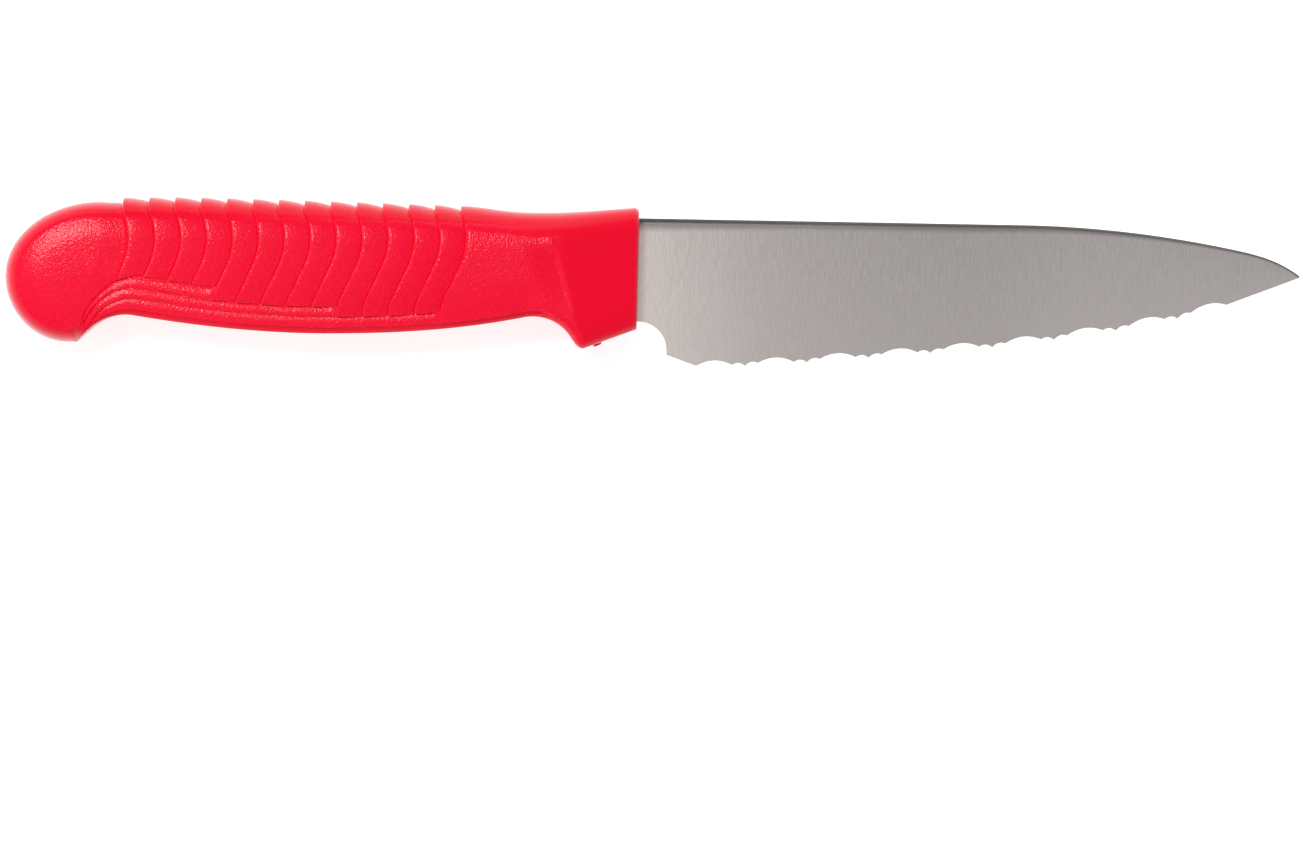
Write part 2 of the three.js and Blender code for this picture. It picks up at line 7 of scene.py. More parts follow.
import bmesh
import bpy
import numpy as np
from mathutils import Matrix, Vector


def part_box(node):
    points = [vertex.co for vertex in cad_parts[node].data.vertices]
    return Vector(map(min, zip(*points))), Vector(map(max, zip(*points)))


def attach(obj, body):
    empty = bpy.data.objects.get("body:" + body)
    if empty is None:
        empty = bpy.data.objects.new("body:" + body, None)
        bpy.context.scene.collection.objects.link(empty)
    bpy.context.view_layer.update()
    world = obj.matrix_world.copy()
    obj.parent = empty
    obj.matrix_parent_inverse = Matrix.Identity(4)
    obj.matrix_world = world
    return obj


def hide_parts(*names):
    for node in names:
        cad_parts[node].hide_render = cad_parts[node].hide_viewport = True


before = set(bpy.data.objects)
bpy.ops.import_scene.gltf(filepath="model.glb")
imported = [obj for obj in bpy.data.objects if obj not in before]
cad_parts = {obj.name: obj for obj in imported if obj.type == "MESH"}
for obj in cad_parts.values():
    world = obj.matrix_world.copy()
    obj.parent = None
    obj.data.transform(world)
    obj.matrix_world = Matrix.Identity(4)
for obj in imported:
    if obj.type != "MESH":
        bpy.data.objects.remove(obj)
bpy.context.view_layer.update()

# Handle sizes
HANDLE_LENGTH = 109.1
HANDLE_THICKNESS = 15.6
FRONT_THICKNESS = 11.2
FRONT_EDGE_RADIUS = 0.9
FRONT_LEAN = 0.024
BUTT_END_DROP = 9.95
BUTT_TOP_REACH = 16.5
BUTT_TOP_RISE = 12.85
BUTT_LOW_REACH = 11.0
BUTT_LOW_FALL = 11.37
GRIP_REACH = 31
GRIP_RISE = 3.0
GRIP_TOP = ((-54, 2.35), (-31, 1.55))
NECK_BACK = 14.5
NECK_RISE = 1.02
FRONT_RISE = 1.9
HOLLOW_FROM_BUTT = 20.9
HOLLOW_DROP = 16.62
HOLLOW_RADIUS = 9.0
HOLLOW_RUNOUT = 1.5
BELLY_BACK = 53.0
BELLY_DROP = 19.86
GROOVE_BACK = 18.1
GROOVE_DROP = 16.93
GROOVE_RADIUS = 7.76
GROOVE_RUNOUT = 1.5
GROOVE_FLANK = 6.67
FRONT_DROP = 19.05
CHIN_SLOPE = 0.36
CORNER_BLEND = 2.0
CHIN_BLEND = 2.2
BOLSTER_TOP_BACK = 15.7
BOLSTER_LEAN = 0.282
TAPER_BLEND = 0.09
GATE_X = -7.1
GATE_SIDES = 20
# Rings of the gate's stub, as (depth into the handle, radius)
GATE_RINGS = ((1.2, 0.75), (-0.16, 0.75), (-0.3, 0.65), (-0.36, 0.4))

# Relief of the grip
FIRST_RIDGE_FROM_BUTT = 20.3
RIDGE_PITCH = 4.457
LAST_RIDGE = 13
RIDGE_STEP = 0.4
RIDGE_STEP_ON_TOP = 0.67
RIDGE_RISER = 0.22
RIDGE_FOOT_DEPTH = 0.15
RIDGE_FOOT_SHARE = 0.06
RIDGE_LIP = 0.06
RIDGE_LIP_SHARE = 0.1
RIDGE_FALL_POWER = 1.7
LAST_SCALE_RUN = 2.6
BUTT_DIP = 0.2
BUTT_DIP_LENGTH = 5.0
STRIP_HEIGHTS = (7.2, 4.9, 3.05, 1.08)
STRIP_STEP = 0.42
STRIP_RISER = 0.08
STRIP_TAIL = 1.3
STRIP_FALL_POWER = 1.8
BEAD_HEIGHT = 0.09
BEAD_WIDTH = 0.36
BEAD_DROP = 0.16
STRIP_FADE_IN = 0.8
STRIP_END_RIDGES = (4, 9, 13)
BELLY_FALL = 1.0
CHIN_ROUND = 2.3
UNDER_SLOPE = 1.0
CHAMFER_POWER = 1.5
UNDER_BUILD_UP = 1.6
CHIN_FADE = (20.0, 14.0)
# How far the ridges lean, as (depth below y = 0, shift along x)
RIDGE_LEAN = (
    (-2.4, 0.05), (-0.8, 0.36), (0.6, 0.95), (3.7, 1.32),
    (6.8, 0.78), (10.3, -0.78), (14.1, -2.6), (15.5, -3.05),
)
# Upper edges of the strips above the lower line: (distance from the hook, four heights)
STRIP_FAN = (
    (0.0, 1.8, 1.15, 0.25, 0.12),
    (0.5, 3.0, 1.95, 0.4, 0.2),
    (1.4, 4.05, 2.6, 0.65, 0.32),
    (2.1, 4.48, 3.0, 1.04, 0.38),
    (3.0, 4.85, 3.45, 1.55, 0.45),
    (4.0, 5.26, 3.74, 1.94, 0.56),
    (5.7, 5.86, 4.22, 2.35, 0.75),
    (8.6, 6.72, 4.75, 2.9, 1.03),
    (10.7, 7.2, 4.95, 3.05, 1.08),
    (17.0, 7.2, 4.95, 3.05, 1.08),
    (24.0, 6.95, 4.75, 3.0, 1.06),
)
# Width of the smooth round-over along the outline, as (x, width)
RIM_WIDTHS = ((-109.1, 2.8), (-92, 2.8), (-58, 3.6), (-30, 3.8), (-15, 4.6), (-7, 4.3), (0, 3.6))
# Width of its smooth part, where the grain of the panels starts, as (x, width)
CREASE_WIDTHS = (
    (-109.1, 2.0), (-96, 2.1), (-84, 2.9), (-58, 2.9),
    (-32, 2.7), (-22, 3.0), (-15, 4.4), (0, 4.4),
)
CREASE_STEP = 0.07
# The edge of the grain is sharp along the grip and soft around the butt
CREASE_SOFTNESS = (0.3, 1.2)
CREASE_SOFT_FROM = -82.0
CREASE_SOFT_RUN = 12
GRAIN_END_RUN = 0.5
GRAIN_LOW_SHARE = 0.8
GRAIN_LOW_RUN = 0.06
DOME_START = 2.6
DOME_WIDTH = 4.2
DOME_DROP = 0.44
BROAD_WIDTH = 12.0
BROAD_DROP = 0.42
# The dome is flatter at the front, from just behind the bolster's edge
DOME_FRONT_CUT = 0.75
DOME_FRONT_START = 3
DOME_FRONT_RUN = 6
THUMB_HOLLOW = 0.6
THUMB_REACH = 6.0
THUMB_EDGE_RUN = 0.7
THUMB_RIM_GAP = 0.9
THUMB_RIM_RUN = 3.0
THUMB_LOW_DROP = 19.0
THUMB_LOW_RUN = 11.0

# Blade sizes
BLADE_LENGTH = 113.96
STOCK = 1.5
EDGE = 0.4
SPINE_ROUND = 1.0
SPINE_SLOPE = 0.0178
# Depth over which the painted dark reflection along the spine fades out, as (x, depth)
SPINE_REFLECTION_FADE = ((0, 2.5), (28, 1.65), (54, 1.6), (80, 1.2), (97, 0.8), (114, 0.5))
SWEEP_LENGTH = 48.0
SWEEP_RADIUS = 187.0
NOSE_LENGTH = 11.0
NOSE_DROP = 1.75
TIP_BLUNT = 0.35
HEEL_DEPTH = 17.8
NOTCH_RADIUS = 4.87
HEEL_CORNER_DEPTH = 23.57
FIRST_TOOTH = 10.02
TOOTH_PITCH = 10.65
LARGE_SCALLOP = 6.2
LARGE_RISE = 0.84
SMALL_RISE = 0.42
RECESS_BEFORE = (0.18, 0.45)
RECESS_AFTER = 0.4
TOOTH_PITCHES = 8
BEVEL_SLOPE = 3.3
BEVEL_LIMIT = 0.6
EDGE_FLAT = 0.03
# Line through the points of the teeth, as (x, y)
TOOTH_LINE = (
    (10.02, -25.44), (18.45, -25.43), (29.14, -24.82), (61.03, -22.24),
    (82.23, -19.38), (92.92, -17.32), (101.42, -14.92),
)
TANG_LENGTH = 64.0
SHOULDER = 5.0
TANG_TOP_DROP = 3.6
TANG_HEIGHT = 10.8
TANG_END_HEIGHT = 8.0
TANG_HOLE_RADIUS = 2.5
TANG_HOLE_BACKS = (22.0, 46.0)
MOUTH_GAP = 0.06
POCKET_GAP = 0.3
MOUTH_OVERRUN = 4.0
PEG_HALF = 1.4
HOLE_CUT = 2
CIRCLE_SIDES = 24

BUTT_X = -HANDLE_LENGTH
BUTT_Y = -BUTT_END_DROP
HOLLOW_X = BUTT_X + HOLLOW_FROM_BUTT
FIRST_RIDGE = BUTT_X + FIRST_RIDGE_FROM_BUTT
BODY_HALF = HANDLE_THICKNESS / 2 - RIDGE_STEP
RISER = RIDGE_RISER / RIDGE_PITCH

# Where the drawing's origin lies in the shared frame, in millimetres
handle_low, handle_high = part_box("handle")
blade_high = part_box("blade")[1]
ORIGIN = np.array([
    handle_low[0] * 1000 + HANDLE_LENGTH,
    blade_high[1] * 1000 - SPINE_SLOPE * SHOULDER,
    (handle_low[2] + handle_high[2]) * 500,
])


# Small helpers

def clamp01(t):
    return np.clip(t, 0.0, 1.0)


def smooth(t):
    c = clamp01(t)
    return c * c * (3 - 2 * c)


def mix(a, b, t):
    return a + (b - a) * t


def soft_max(a, b, blend):
    overlap = np.maximum(blend - np.abs(a - b), 0) / blend
    return np.maximum(a, b) + overlap * overlap * blend / 4


def hermite(x0, y0, m0, x1, y1, m1, x):
    w = x1 - x0
    t = (x - x0) / w
    s = 1 - t
    from_start = (1 + 2 * t) * s * s * y0 + t * s * s * w * m0
    return from_start + t * t * (3 - 2 * t) * y1 - t * t * s * w * m1


def curve_through(points):
    px = np.array([p[0] for p in points], float)
    py = np.array([p[1] for p in points], float)
    lo = np.maximum(np.arange(len(px)) - 1, 0)
    hi = np.minimum(np.arange(len(px)) + 1, len(px) - 1)
    slopes = (py[hi] - py[lo]) / (px[hi] - px[lo])

    def curve(x):
        x = np.clip(x, px[0], px[-1])
        i = np.clip(np.searchsorted(px, x, side="left") - 1, 0, len(px) - 2)
        return hermite(px[i], py[i], slopes[i], px[i + 1], py[i + 1], slopes[i + 1], x)

    return curve


def bisect(rising, target, low, high, steps=22):
    a, b = np.array(low, float), np.array(high, float)
    for _ in range(steps):
        m = (a + b) / 2
        under = rising(m) < target
        a = np.where(under, m, a)
        b = np.where(under, b, m)
    return (a + b) / 2


# Side outline of the handle

top_curve = curve_through((
    (BUTT_X + BUTT_TOP_REACH, BUTT_Y + BUTT_TOP_RISE),
    (BUTT_X + GRIP_REACH, GRIP_RISE),
    *GRIP_TOP,
    (-NECK_BACK, NECK_RISE),
    (0, FRONT_RISE),
))
lean_at_depth = curve_through(RIDGE_LEAN)
rim_width_at = curve_through(RIM_WIDTHS)
crease_at = curve_through(CREASE_WIDTHS)


def quarter_ellipse(x, reach_x, height):
    t = clamp01(1 - (x - BUTT_X) / reach_x)
    return height * np.sqrt(1 - t * t)


def top_y(x):
    butt = BUTT_Y + quarter_ellipse(x, BUTT_TOP_REACH, BUTT_TOP_RISE)
    return np.where(x < BUTT_X + BUTT_TOP_REACH, butt, top_curve(x))


def hollow_y(x, centre, drop, radius):
    inside = radius * radius - (x - centre) ** 2
    return np.where(inside > 0, -drop - radius + np.sqrt(np.maximum(inside, 0)), -1e3)


def hollow_slope(offset, radius):
    return -offset / math.sqrt(radius * radius - offset * offset)


def behind_hollow(x):
    return hollow_y(x, HOLLOW_X, HOLLOW_DROP, HOLLOW_RADIUS)


def finger_groove(x):
    """Round groove that goes over into a straight flank at the chin."""
    past_flank = np.maximum(x + GROOVE_BACK - GROOVE_FLANK, 0)
    round_part = hollow_y(x - past_flank, -GROOVE_BACK, GROOVE_DROP, GROOVE_RADIUS)
    return round_part + past_flank * hollow_slope(GROOVE_FLANK, GROOVE_RADIUS)


def bottom_y(x):
    x = np.asarray(x, float)
    start = HOLLOW_X + HOLLOW_RUNOUT
    end = -GROOVE_BACK - GROOVE_RUNOUT
    butt = BUTT_Y - quarter_ellipse(x, BUTT_LOW_REACH, BUTT_LOW_FALL)
    rear = soft_max(butt, behind_hollow(x), CORNER_BLEND)
    belly = hermite(start, behind_hollow(start), hollow_slope(HOLLOW_RUNOUT, HOLLOW_RADIUS),
                    -BELLY_BACK, -BELLY_DROP, 0, x)
    rise = hermite(-BELLY_BACK, -BELLY_DROP, 0, end, finger_groove(end),
                   hollow_slope(-GROOVE_RUNOUT, GROOVE_RADIUS), x)
    chin = soft_max(finger_groove(x), CHIN_SLOPE * x - FRONT_DROP, CHIN_BLEND)
    y = np.where(x < -GROOVE_BACK, finger_groove(x), chin)
    y = np.where(x < end, rise, y)
    y = np.where(x < -BELLY_BACK, belly, y)
    y = np.where(x < start, behind_hollow(x), y)
    return np.where(x < HOLLOW_X, rear, y)


HOOK_DEPTH = BUTT_LOW_FALL + BUTT_END_DROP - HOLLOW_DROP - HOLLOW_RADIUS
HOOK_X = HOLLOW_X - math.sqrt(HOLLOW_RADIUS ** 2 - HOOK_DEPTH ** 2)


def butt_chain(f, to_x, count=40):
    x = mix(to_x, BUTT_X, np.cos(np.linspace(0, math.pi / 2, count + 1)))
    return np.stack([x, f(x)], axis=1)


def sampled(f, start, end, step):
    x = np.linspace(start, end, int(math.ceil((end - start) / step)) + 1)
    return np.stack([x, f(x)], axis=1)


# The outlines run on a little past the front of the handle
OVERRUN = 4
TOP_SPACING = 0.8
BELLY_SPACING = 0.4
top_outline = np.concatenate([
    butt_chain(bottom_y, HOOK_X)[::-1],
    butt_chain(top_y, BUTT_X + BUTT_TOP_REACH)[1:],
    sampled(top_y, BUTT_X + BUTT_TOP_REACH, 0, TOP_SPACING)[1:],
    [[OVERRUN, FRONT_RISE]],
])
belly_outline = np.concatenate([
    sampled(bottom_y, HOOK_X, 0, BELLY_SPACING),
    [[OVERRUN, CHIN_SLOPE * OVERRUN - FRONT_DROP]],
])


POINTS_AT_ONCE = 4000


def reach(outline, side, x, y):
    """Distance from points to an outline, and the direction out through it."""
    shape = np.shape(x)
    px, py = np.ravel(x), np.ravel(y)
    a, b = outline[:-1], outline[1:]
    along = b - a
    square = (along ** 2).sum(axis=1)
    distance = np.empty(len(px))
    out = np.empty((len(px), 2))
    for start in range(0, len(px), POINTS_AT_ONCE):
        part = slice(start, start + POINTS_AT_ONCE)
        dx = px[part, None] - a[None, :, 0]
        dy = py[part, None] - a[None, :, 1]
        t = clamp01((dx * along[:, 0] + dy * along[:, 1]) / square)
        gap = (dx - t * along[:, 0]) ** 2 + (dy - t * along[:, 1]) ** 2
        best = np.argmin(gap, axis=1)
        distance[part] = np.sqrt(gap[np.arange(len(best)), best])
        direction = along[best] / np.sqrt(square[best])[:, None]
        out[part] = np.stack([-side * direction[:, 1], side * direction[:, 0]], axis=1)
    return distance.reshape(shape), out[:, 0].reshape(shape), out[:, 1].reshape(shape)


def chin_share(x):
    return smooth((x + CHIN_FADE[0]) / (CHIN_FADE[0] - CHIN_FADE[1]))


STRIP_LEVELS = np.array(STRIP_HEIGHTS) / STRIP_HEIGHTS[0]
STRIP_LOWS = np.append(STRIP_LEVELS[1:], 0.0)
strip_edges = [curve_through([(row[0], row[k]) for row in STRIP_FAN]) for k in (1, 2, 3, 4)]


def strip_level(x, height):
    """Height above the lower line as a share of the band, with fixed places for the strips."""
    edges = [edge(x - HOOK_X) for edge in strip_edges] + [0.0]
    level = height / edges[0]
    for k in range(len(STRIP_LEVELS)):
        t = (height - edges[k + 1]) / (edges[k] - edges[k + 1])
        level = np.where(height < edges[k], mix(STRIP_LOWS[k], STRIP_LEVELS[k], t), level)
    return level


def bolster_x(y):
    return -BOLSTER_TOP_BACK - BOLSTER_LEAN * (y - NECK_RISE)


def front_x(y):
    return FRONT_LEAN * (y + HEEL_DEPTH / 2)


# Relief of the moulding

def lower_strip(scale):
    return sum((scale >= end).astype(int) for end in STRIP_END_RIDGES)


def scale_relief(scale, along, top_share):
    top = top_share * top_share
    last = scale >= LAST_RIDGE
    fall = np.where(last, smooth(along / LAST_SCALE_RUN), clamp01(along) ** RIDGE_FALL_POWER)
    lip = RIDGE_LIP * clamp01(1 - along / RIDGE_LIP_SHARE) ** 2
    side = RIDGE_STEP * (1 - lip - np.where(last, 0.0, fall))
    relief = mix(side, RIDGE_STEP_ON_TOP * (1 - fall), top)
    dip = -BUTT_DIP * smooth(1 + (along - 1) * RIDGE_PITCH / BUTT_DIP_LENGTH)
    foot = np.where(last, 0.0, RIDGE_FOOT_DEPTH * smooth((along - 1) / RIDGE_FOOT_SHARE + 1))
    return np.where(scale < 0, dip, relief) - foot


def relief_beside(scale, along, level, fade, top_share):
    first = lower_strip(scale)
    upper = scale_relief(scale, along, top_share)
    strip = np.sum(level[..., None] <= STRIP_LEVELS, axis=-1) - 1
    strip = np.maximum(np.clip(strip, 0, len(STRIP_LEVELS) - 1), first)
    high, low = STRIP_LEVELS[strip], STRIP_LOWS[strip]
    t = (high - level) / (high - low)
    source = np.where(strip == first, upper, 0.0)
    ending = (strip == first) & (lower_strip(scale + 1) > first)
    depth = STRIP_STEP * np.where(ending, smooth((1 - along) * RIDGE_PITCH / STRIP_TAIL), 1.0)
    lip = mix(source, -depth, smooth(t / STRIP_RISER))
    slope = -depth * (1 - clamp01((t - STRIP_RISER) / (1 - STRIP_RISER))) ** STRIP_FALL_POWER
    stripped = mix(upper, np.where(t < STRIP_RISER, lip, slope), fade)
    return np.where(level >= STRIP_LEVELS[first], upper, stripped)


def relief(x, y, level, fade, top_share):
    s = (x - lean_at_depth(-y) - FIRST_RIDGE) / RIDGE_PITCH
    scale = np.clip(np.floor(s + 1e-6), -1, LAST_RIDGE).astype(int)
    along = np.where(scale < 0, s + 1, s - scale)
    before = relief_beside(scale - 1, np.ones_like(s), level, fade, top_share)
    after = relief_beside(scale, np.zeros_like(s), level, fade, top_share)
    step = mix(before, after, smooth((along + 1e-6) / RISER))
    past_riser = np.where(scale < 0, along, (along - RISER) / (1 - RISER))
    rest = relief_beside(scale, past_riser, level, fade, top_share)
    return np.where((scale >= 0) & (along < RISER), step, rest)


def dome(x, edge, rim_d):
    """Fall of the panels towards their rim, and its slope."""
    inward = clamp01(1 - (rim_d - DOME_START) / DOME_WIDTH)
    broad = clamp01(1 - (rim_d - DOME_START) / BROAD_WIDTH)
    share = 1 - DOME_FRONT_CUT * smooth((x - edge + DOME_FRONT_START) / DOME_FRONT_RUN)
    fall = share * (DOME_DROP * inward ** 2 + BROAD_DROP * broad ** 2)
    slope = 2 * share * (DOME_DROP * inward / DOME_WIDTH + BROAD_DROP * broad / BROAD_WIDTH)
    return fall, slope


def thumb_share(x, y, edge, rim_d):
    """Shallow hollow of the panel behind the bolster's edge."""
    behind_edge = np.maximum(edge - x, 0)
    share = smooth(1 - behind_edge / THUMB_REACH) * smooth(behind_edge / THUMB_EDGE_RUN)
    share = share * smooth((rim_d - crease_at(x) - THUMB_RIM_GAP) / THUMB_RIM_RUN)
    return share * smooth((y + THUMB_LOW_DROP) / THUMB_LOW_RUN)


def grain_share(x, edge, rim_d, level):
    softness = mix(*CREASE_SOFTNESS, smooth((CREASE_SOFT_FROM - x) / CREASE_SOFT_RUN))
    grain = smooth((rim_d - crease_at(x)) / softness + 0.5) * smooth((edge - x) / GRAIN_END_RUN)
    above_lip = smooth((level - STRIP_LEVELS[-1] * GRAIN_LOW_SHARE) / GRAIN_LOW_RUN)
    return grain * np.where(x < HOOK_X, 1.0, above_lip)


def lip_bead(over_lip):
    below = clamp01(1 + over_lip / BEAD_DROP)
    above = clamp01(1 - over_lip / BEAD_WIDTH) ** 2
    return np.where(over_lip < 0, below, above)


def surface(x, y, inset):
    """Points of the moulded surface above places in the side view, and the share of grain there."""
    rim_d, rim_ox, rim_oy = reach(top_outline, 1, x, y)
    low_d, low_ox, low_oy = reach(belly_outline, -1, x, y)
    behind = x < HOOK_X
    edge = bolster_x(y)
    chin = chin_share(x)
    past_hook = x - HOOK_X
    height = y - bottom_y(x)
    lip = strip_edges[-1](past_hook)
    width = rim_width_at(x)
    rim_cos = clamp01(1 - rim_d / width)
    rim_sin = np.sqrt(1 - rim_cos ** 2)
    under_width = mix(lip, CHIN_ROUND, chin)
    under_cos = np.where(behind, 0.0, clamp01(1 - mix(height, low_d, chin) / under_width))
    under_sin = np.sqrt(1 - under_cos ** 2)
    level = np.where(behind, 2.0, strip_level(x, height))
    fan_in = smooth(past_hook / STRIP_FADE_IN)
    fallen = clamp01(1 - level) * (1 - chin) * fan_in
    taper = soft_max((x - edge) / (front_x(y) - edge), 0.0, TAPER_BLEND)
    dome_fall, dome_slope = dome(x, edge, rim_d)
    half = mix(BODY_HALF, FRONT_THICKNESS / 2 - RIDGE_STEP, taper)
    half = half - BELLY_FALL * fallen ** 2 - dome_fall
    # Below the lip: a chamfer down to an upright wall, which grows out of the round of the hook
    walled = smooth(past_hook / UNDER_BUILD_UP)
    chamfer = under_width * mix(UNDER_SLOPE * under_cos ** CHAMFER_POWER, 1 - under_sin, chin)
    z = mix(half * rim_sin * under_sin, half * rim_sin - chamfer, walled)
    rim_slope = half * under_sin * rim_cos / (width * np.maximum(rim_sin, 1e-3)) + dome_slope
    low_slope = half * rim_sin * under_cos / (under_width * np.maximum(under_sin, 1e-3))
    low_slope = (1 - walled) * low_slope + 2 * BELLY_FALL * fallen / STRIP_HEIGHTS[0]
    normal_x = rim_ox * rim_slope + low_ox * low_slope
    normal_y = rim_oy * rim_slope + low_oy * low_slope
    normal = np.stack([normal_x, normal_y, np.ones_like(x)], axis=-1)
    normal /= np.linalg.norm(normal, axis=-1, keepdims=True)
    strips_end = GROOVE_BACK - BOLSTER_TOP_BACK + GROOVE_RUNOUT
    fade = fan_in * (1 - smooth((x + GROOVE_BACK) / strips_end))
    grain = grain_share(x, edge, rim_d, level)
    rise = relief(x, y, level, fade, rim_cos) + BEAD_HEIGHT * fade * lip_bead(height - lip)
    rise = rise - THUMB_HOLLOW * thumb_share(x, y, edge, rim_d) + CREASE_STEP * (grain - 1)
    points = np.stack([x, y, z], axis=-1) + normal * (rise - inset)[..., None]
    return points, grain


# Columns of the handle's surface: x as a function of y

BUTT_COLUMNS = 30
FAN_COLUMNS = 22
PANEL_COLUMNS = 44
PANEL_POWER = 1.35
BOLSTER_COLUMNS = 30
BOLSTER_POWER = 1.2
FRONT_COLUMNS = 7
HOOK_OFFSETS = (-1.6, -1.1, -0.7, -0.4, -0.15, 0.0, 0.2, 0.45, 0.8)
RISER_SHARES = (0, 0.2, 0.4, 0.6, 0.8, 1)
SCALE_SHARES = (
    0.07, 0.095, 0.12, 0.16, 0.21, 0.27, 0.35, 0.45, 0.56,
    0.68, 0.8, 0.88, 0.93, 0.945, 0.96, 0.975, 0.988,
)


def handle_columns():
    """Each column is (kind, value, share of the ridges' lean)."""
    columns = []
    for angle in np.linspace(0, math.pi / 2, BUTT_COLUMNS)[1:-3]:
        columns.append(("butt", BUTT_X + (HOOK_X - BUTT_X) * (1 - math.cos(angle)), 0.0))
    for offset in HOOK_OFFSETS:
        columns.append(("butt", HOOK_X + offset, 0.0))
    for t in np.linspace(0, 1, FAN_COLUMNS)[3:-1]:
        columns.append(("butt", mix(HOOK_X, FIRST_RIDGE, t), t))
    risers = [t * RISER for t in RISER_SHARES]
    for n in range(LAST_RIDGE):
        for step in (*risers, *SCALE_SHARES):
            columns.append(("ridge", n + step, 1.0))
    for step in risers:
        columns.append(("ridge", LAST_RIDGE + step, 1.0))
    for t in 1 - (1 - np.linspace(0, 1, PANEL_COLUMNS)[1:]) ** PANEL_POWER:
        columns.append(("panel", t, 0.0))
    for t in np.linspace(0, 1, BOLSTER_COLUMNS)[1:] ** BOLSTER_POWER:
        columns.append(("bolster", t, 0.0))
    for turn in np.linspace(0, math.pi / 2, FRONT_COLUMNS)[1:]:
        columns.append(("front", turn, 0.0))
    return columns


COLUMNS = handle_columns()
kind = np.array([c[0] for c in COLUMNS])[:, None]
value = np.array([c[1] for c in COLUMNS])[:, None]
share = np.array([c[2] for c in COLUMNS])[:, None]
inset = np.where(kind == "front", FRONT_EDGE_RADIUS * (1 - np.cos(value)), 0.0)
base_x = np.where(kind == "ridge", FIRST_RIDGE + value * RIDGE_PITCH, value)
# Where a strip ends, the columns stop leaning lower down, over most of a ridge
LEAN_STOP_RUN = 0.95
blended = np.full(value.shape, STRIP_HEIGHTS[0])
for end, upper_height, lower_height in zip(STRIP_END_RIDGES, STRIP_HEIGHTS, STRIP_HEIGHTS[1:]):
    turn = smooth((value - end + 1) / LEAN_STOP_RUN) * (kind == "ridge")
    blended = blended - (upper_height - lower_height) * turn
limit = bottom_y(base_x) + blended
last_x = FIRST_RIDGE + (LAST_RIDGE + RISER) * RIDGE_PITCH
last_limit = bottom_y(last_x) + STRIP_HEIGHTS[3]


def column_x(y):
    leaning = base_x + share * lean_at_depth(-np.maximum(y, limit))
    after_ridges = last_x + lean_at_depth(-np.maximum(y, last_limit))
    panel = mix(after_ridges, bolster_x(y), value)
    bolster = mix(bolster_x(y), front_x(y) - FRONT_EDGE_RADIUS, value)
    front = front_x(y) - FRONT_EDGE_RADIUS * (1 - np.sin(value))
    x = np.where(kind == "front", front, leaning)
    x = np.where(kind == "bolster", bolster, x)
    return np.where(kind == "panel", panel, x)


RIM_TURNS = np.radians([3, 8, 15, 22, 29, 36, 43, 50, 56, 60, 63, 66, 69, 72, 76, 82, 90])
RIM_LIMIT = 0.98
MIDDLE_ROWS = 30
MIDDLE_POWER = 1.25
UNDER_LEVELS = [0.0015, 0.006, 0.014, 0.028, 0.05, 0.08, 0.115]
RISER_ROWS = (0, 0.25, 0.5, 0.75, 1)
STRIP_ROWS = (0.12, 0.3, 0.55, 0.8, 1)
# Place of the last row in the lowest strip and in the other strips
LAST_ROW_SHARES = (0.35, 0.93)
BEAD_ROWS = (0.08, 0.17, 0.27, 0.38, 0.5, 0.63, 0.8, 1.0)
ROUNDS_TO_SETTLE = 12


def belly_levels():
    levels = []
    for high, low in zip(STRIP_LEVELS, STRIP_LOWS):
        span = high - low
        inner = LAST_ROW_SHARES[0] if low == 0 else LAST_ROW_SHARES[1]
        levels += [high - STRIP_RISER * span * t for t in RISER_ROWS]
        levels += [high - span * mix(STRIP_RISER, inner, t) for t in STRIP_ROWS]
    bead = BEAD_WIDTH / STRIP_HEIGHTS[0]
    levels += [STRIP_LEVELS[-1] + bead * t for t in BEAD_ROWS]
    return np.array(sorted(UNDER_LEVELS + levels))


def handle_rows():
    """Heights of the rows on every column, from the top line to the lower line."""
    count = len(COLUMNS)
    high = np.zeros((count, 1))
    low = np.full((count, 1), 2 * BUTT_Y)
    for _ in range(ROUNDS_TO_SETTLE):
        high = top_y(column_x(high))
        low = bottom_y(column_x(low))
    rear = column_x(low) < HOOK_X
    middle = (high + low) / 2
    width = rim_width_at(column_x(high))

    def to_top(y):
        return reach(top_outline, 1, column_x(y), y)[0]

    rim = np.minimum(width, to_top(middle) * RIM_LIMIT)
    depths = rim * (1 - np.cos(RIM_TURNS))[None, :]
    spread = np.ones_like(depths)
    upper = bisect(lambda y: -to_top(y), -depths, middle * spread, high * spread)
    levels = belly_levels()
    turns = np.linspace(0, math.pi / 2, len(levels) + 1)[1:]
    rear_depths = rim * (1 - np.cos(turns))[None, :]
    spread = np.ones_like(rear_depths)
    rear_rows = bisect(to_top, rear_depths, low * spread, middle * spread)

    def band_level(y):
        x = column_x(y)
        return strip_level(x, y - bottom_y(x))

    below_rim = (high - rim) * spread
    belly_rows = bisect(band_level, levels[None, :] * spread, low * spread, below_rim)
    lower = np.where(rear, rear_rows, belly_rows)
    crease, start = upper[:, -1:], lower[:, -1:]
    t = (np.arange(1, MIDDLE_ROWS + 1) / (MIDDLE_ROWS + 1))[None, :] ** MIDDLE_POWER
    return np.concatenate([high, upper, mix(crease, start, t), lower[:, ::-1], low], axis=1)


def new_object(name, points, faces, attributes=None):
    mesh = bpy.data.meshes.new(name)
    mesh.from_pydata(((np.asarray(points) + ORIGIN) / 1000).tolist(), [], faces)
    for key, values in (attributes or {}).items():
        layer = mesh.attributes.new(key, "FLOAT", "POINT")
        layer.data.foreach_set("value", np.asarray(values, np.float32))
    mesh.validate()
    obj = bpy.data.objects.new(name, mesh)
    bpy.context.scene.collection.objects.link(obj)
    return obj


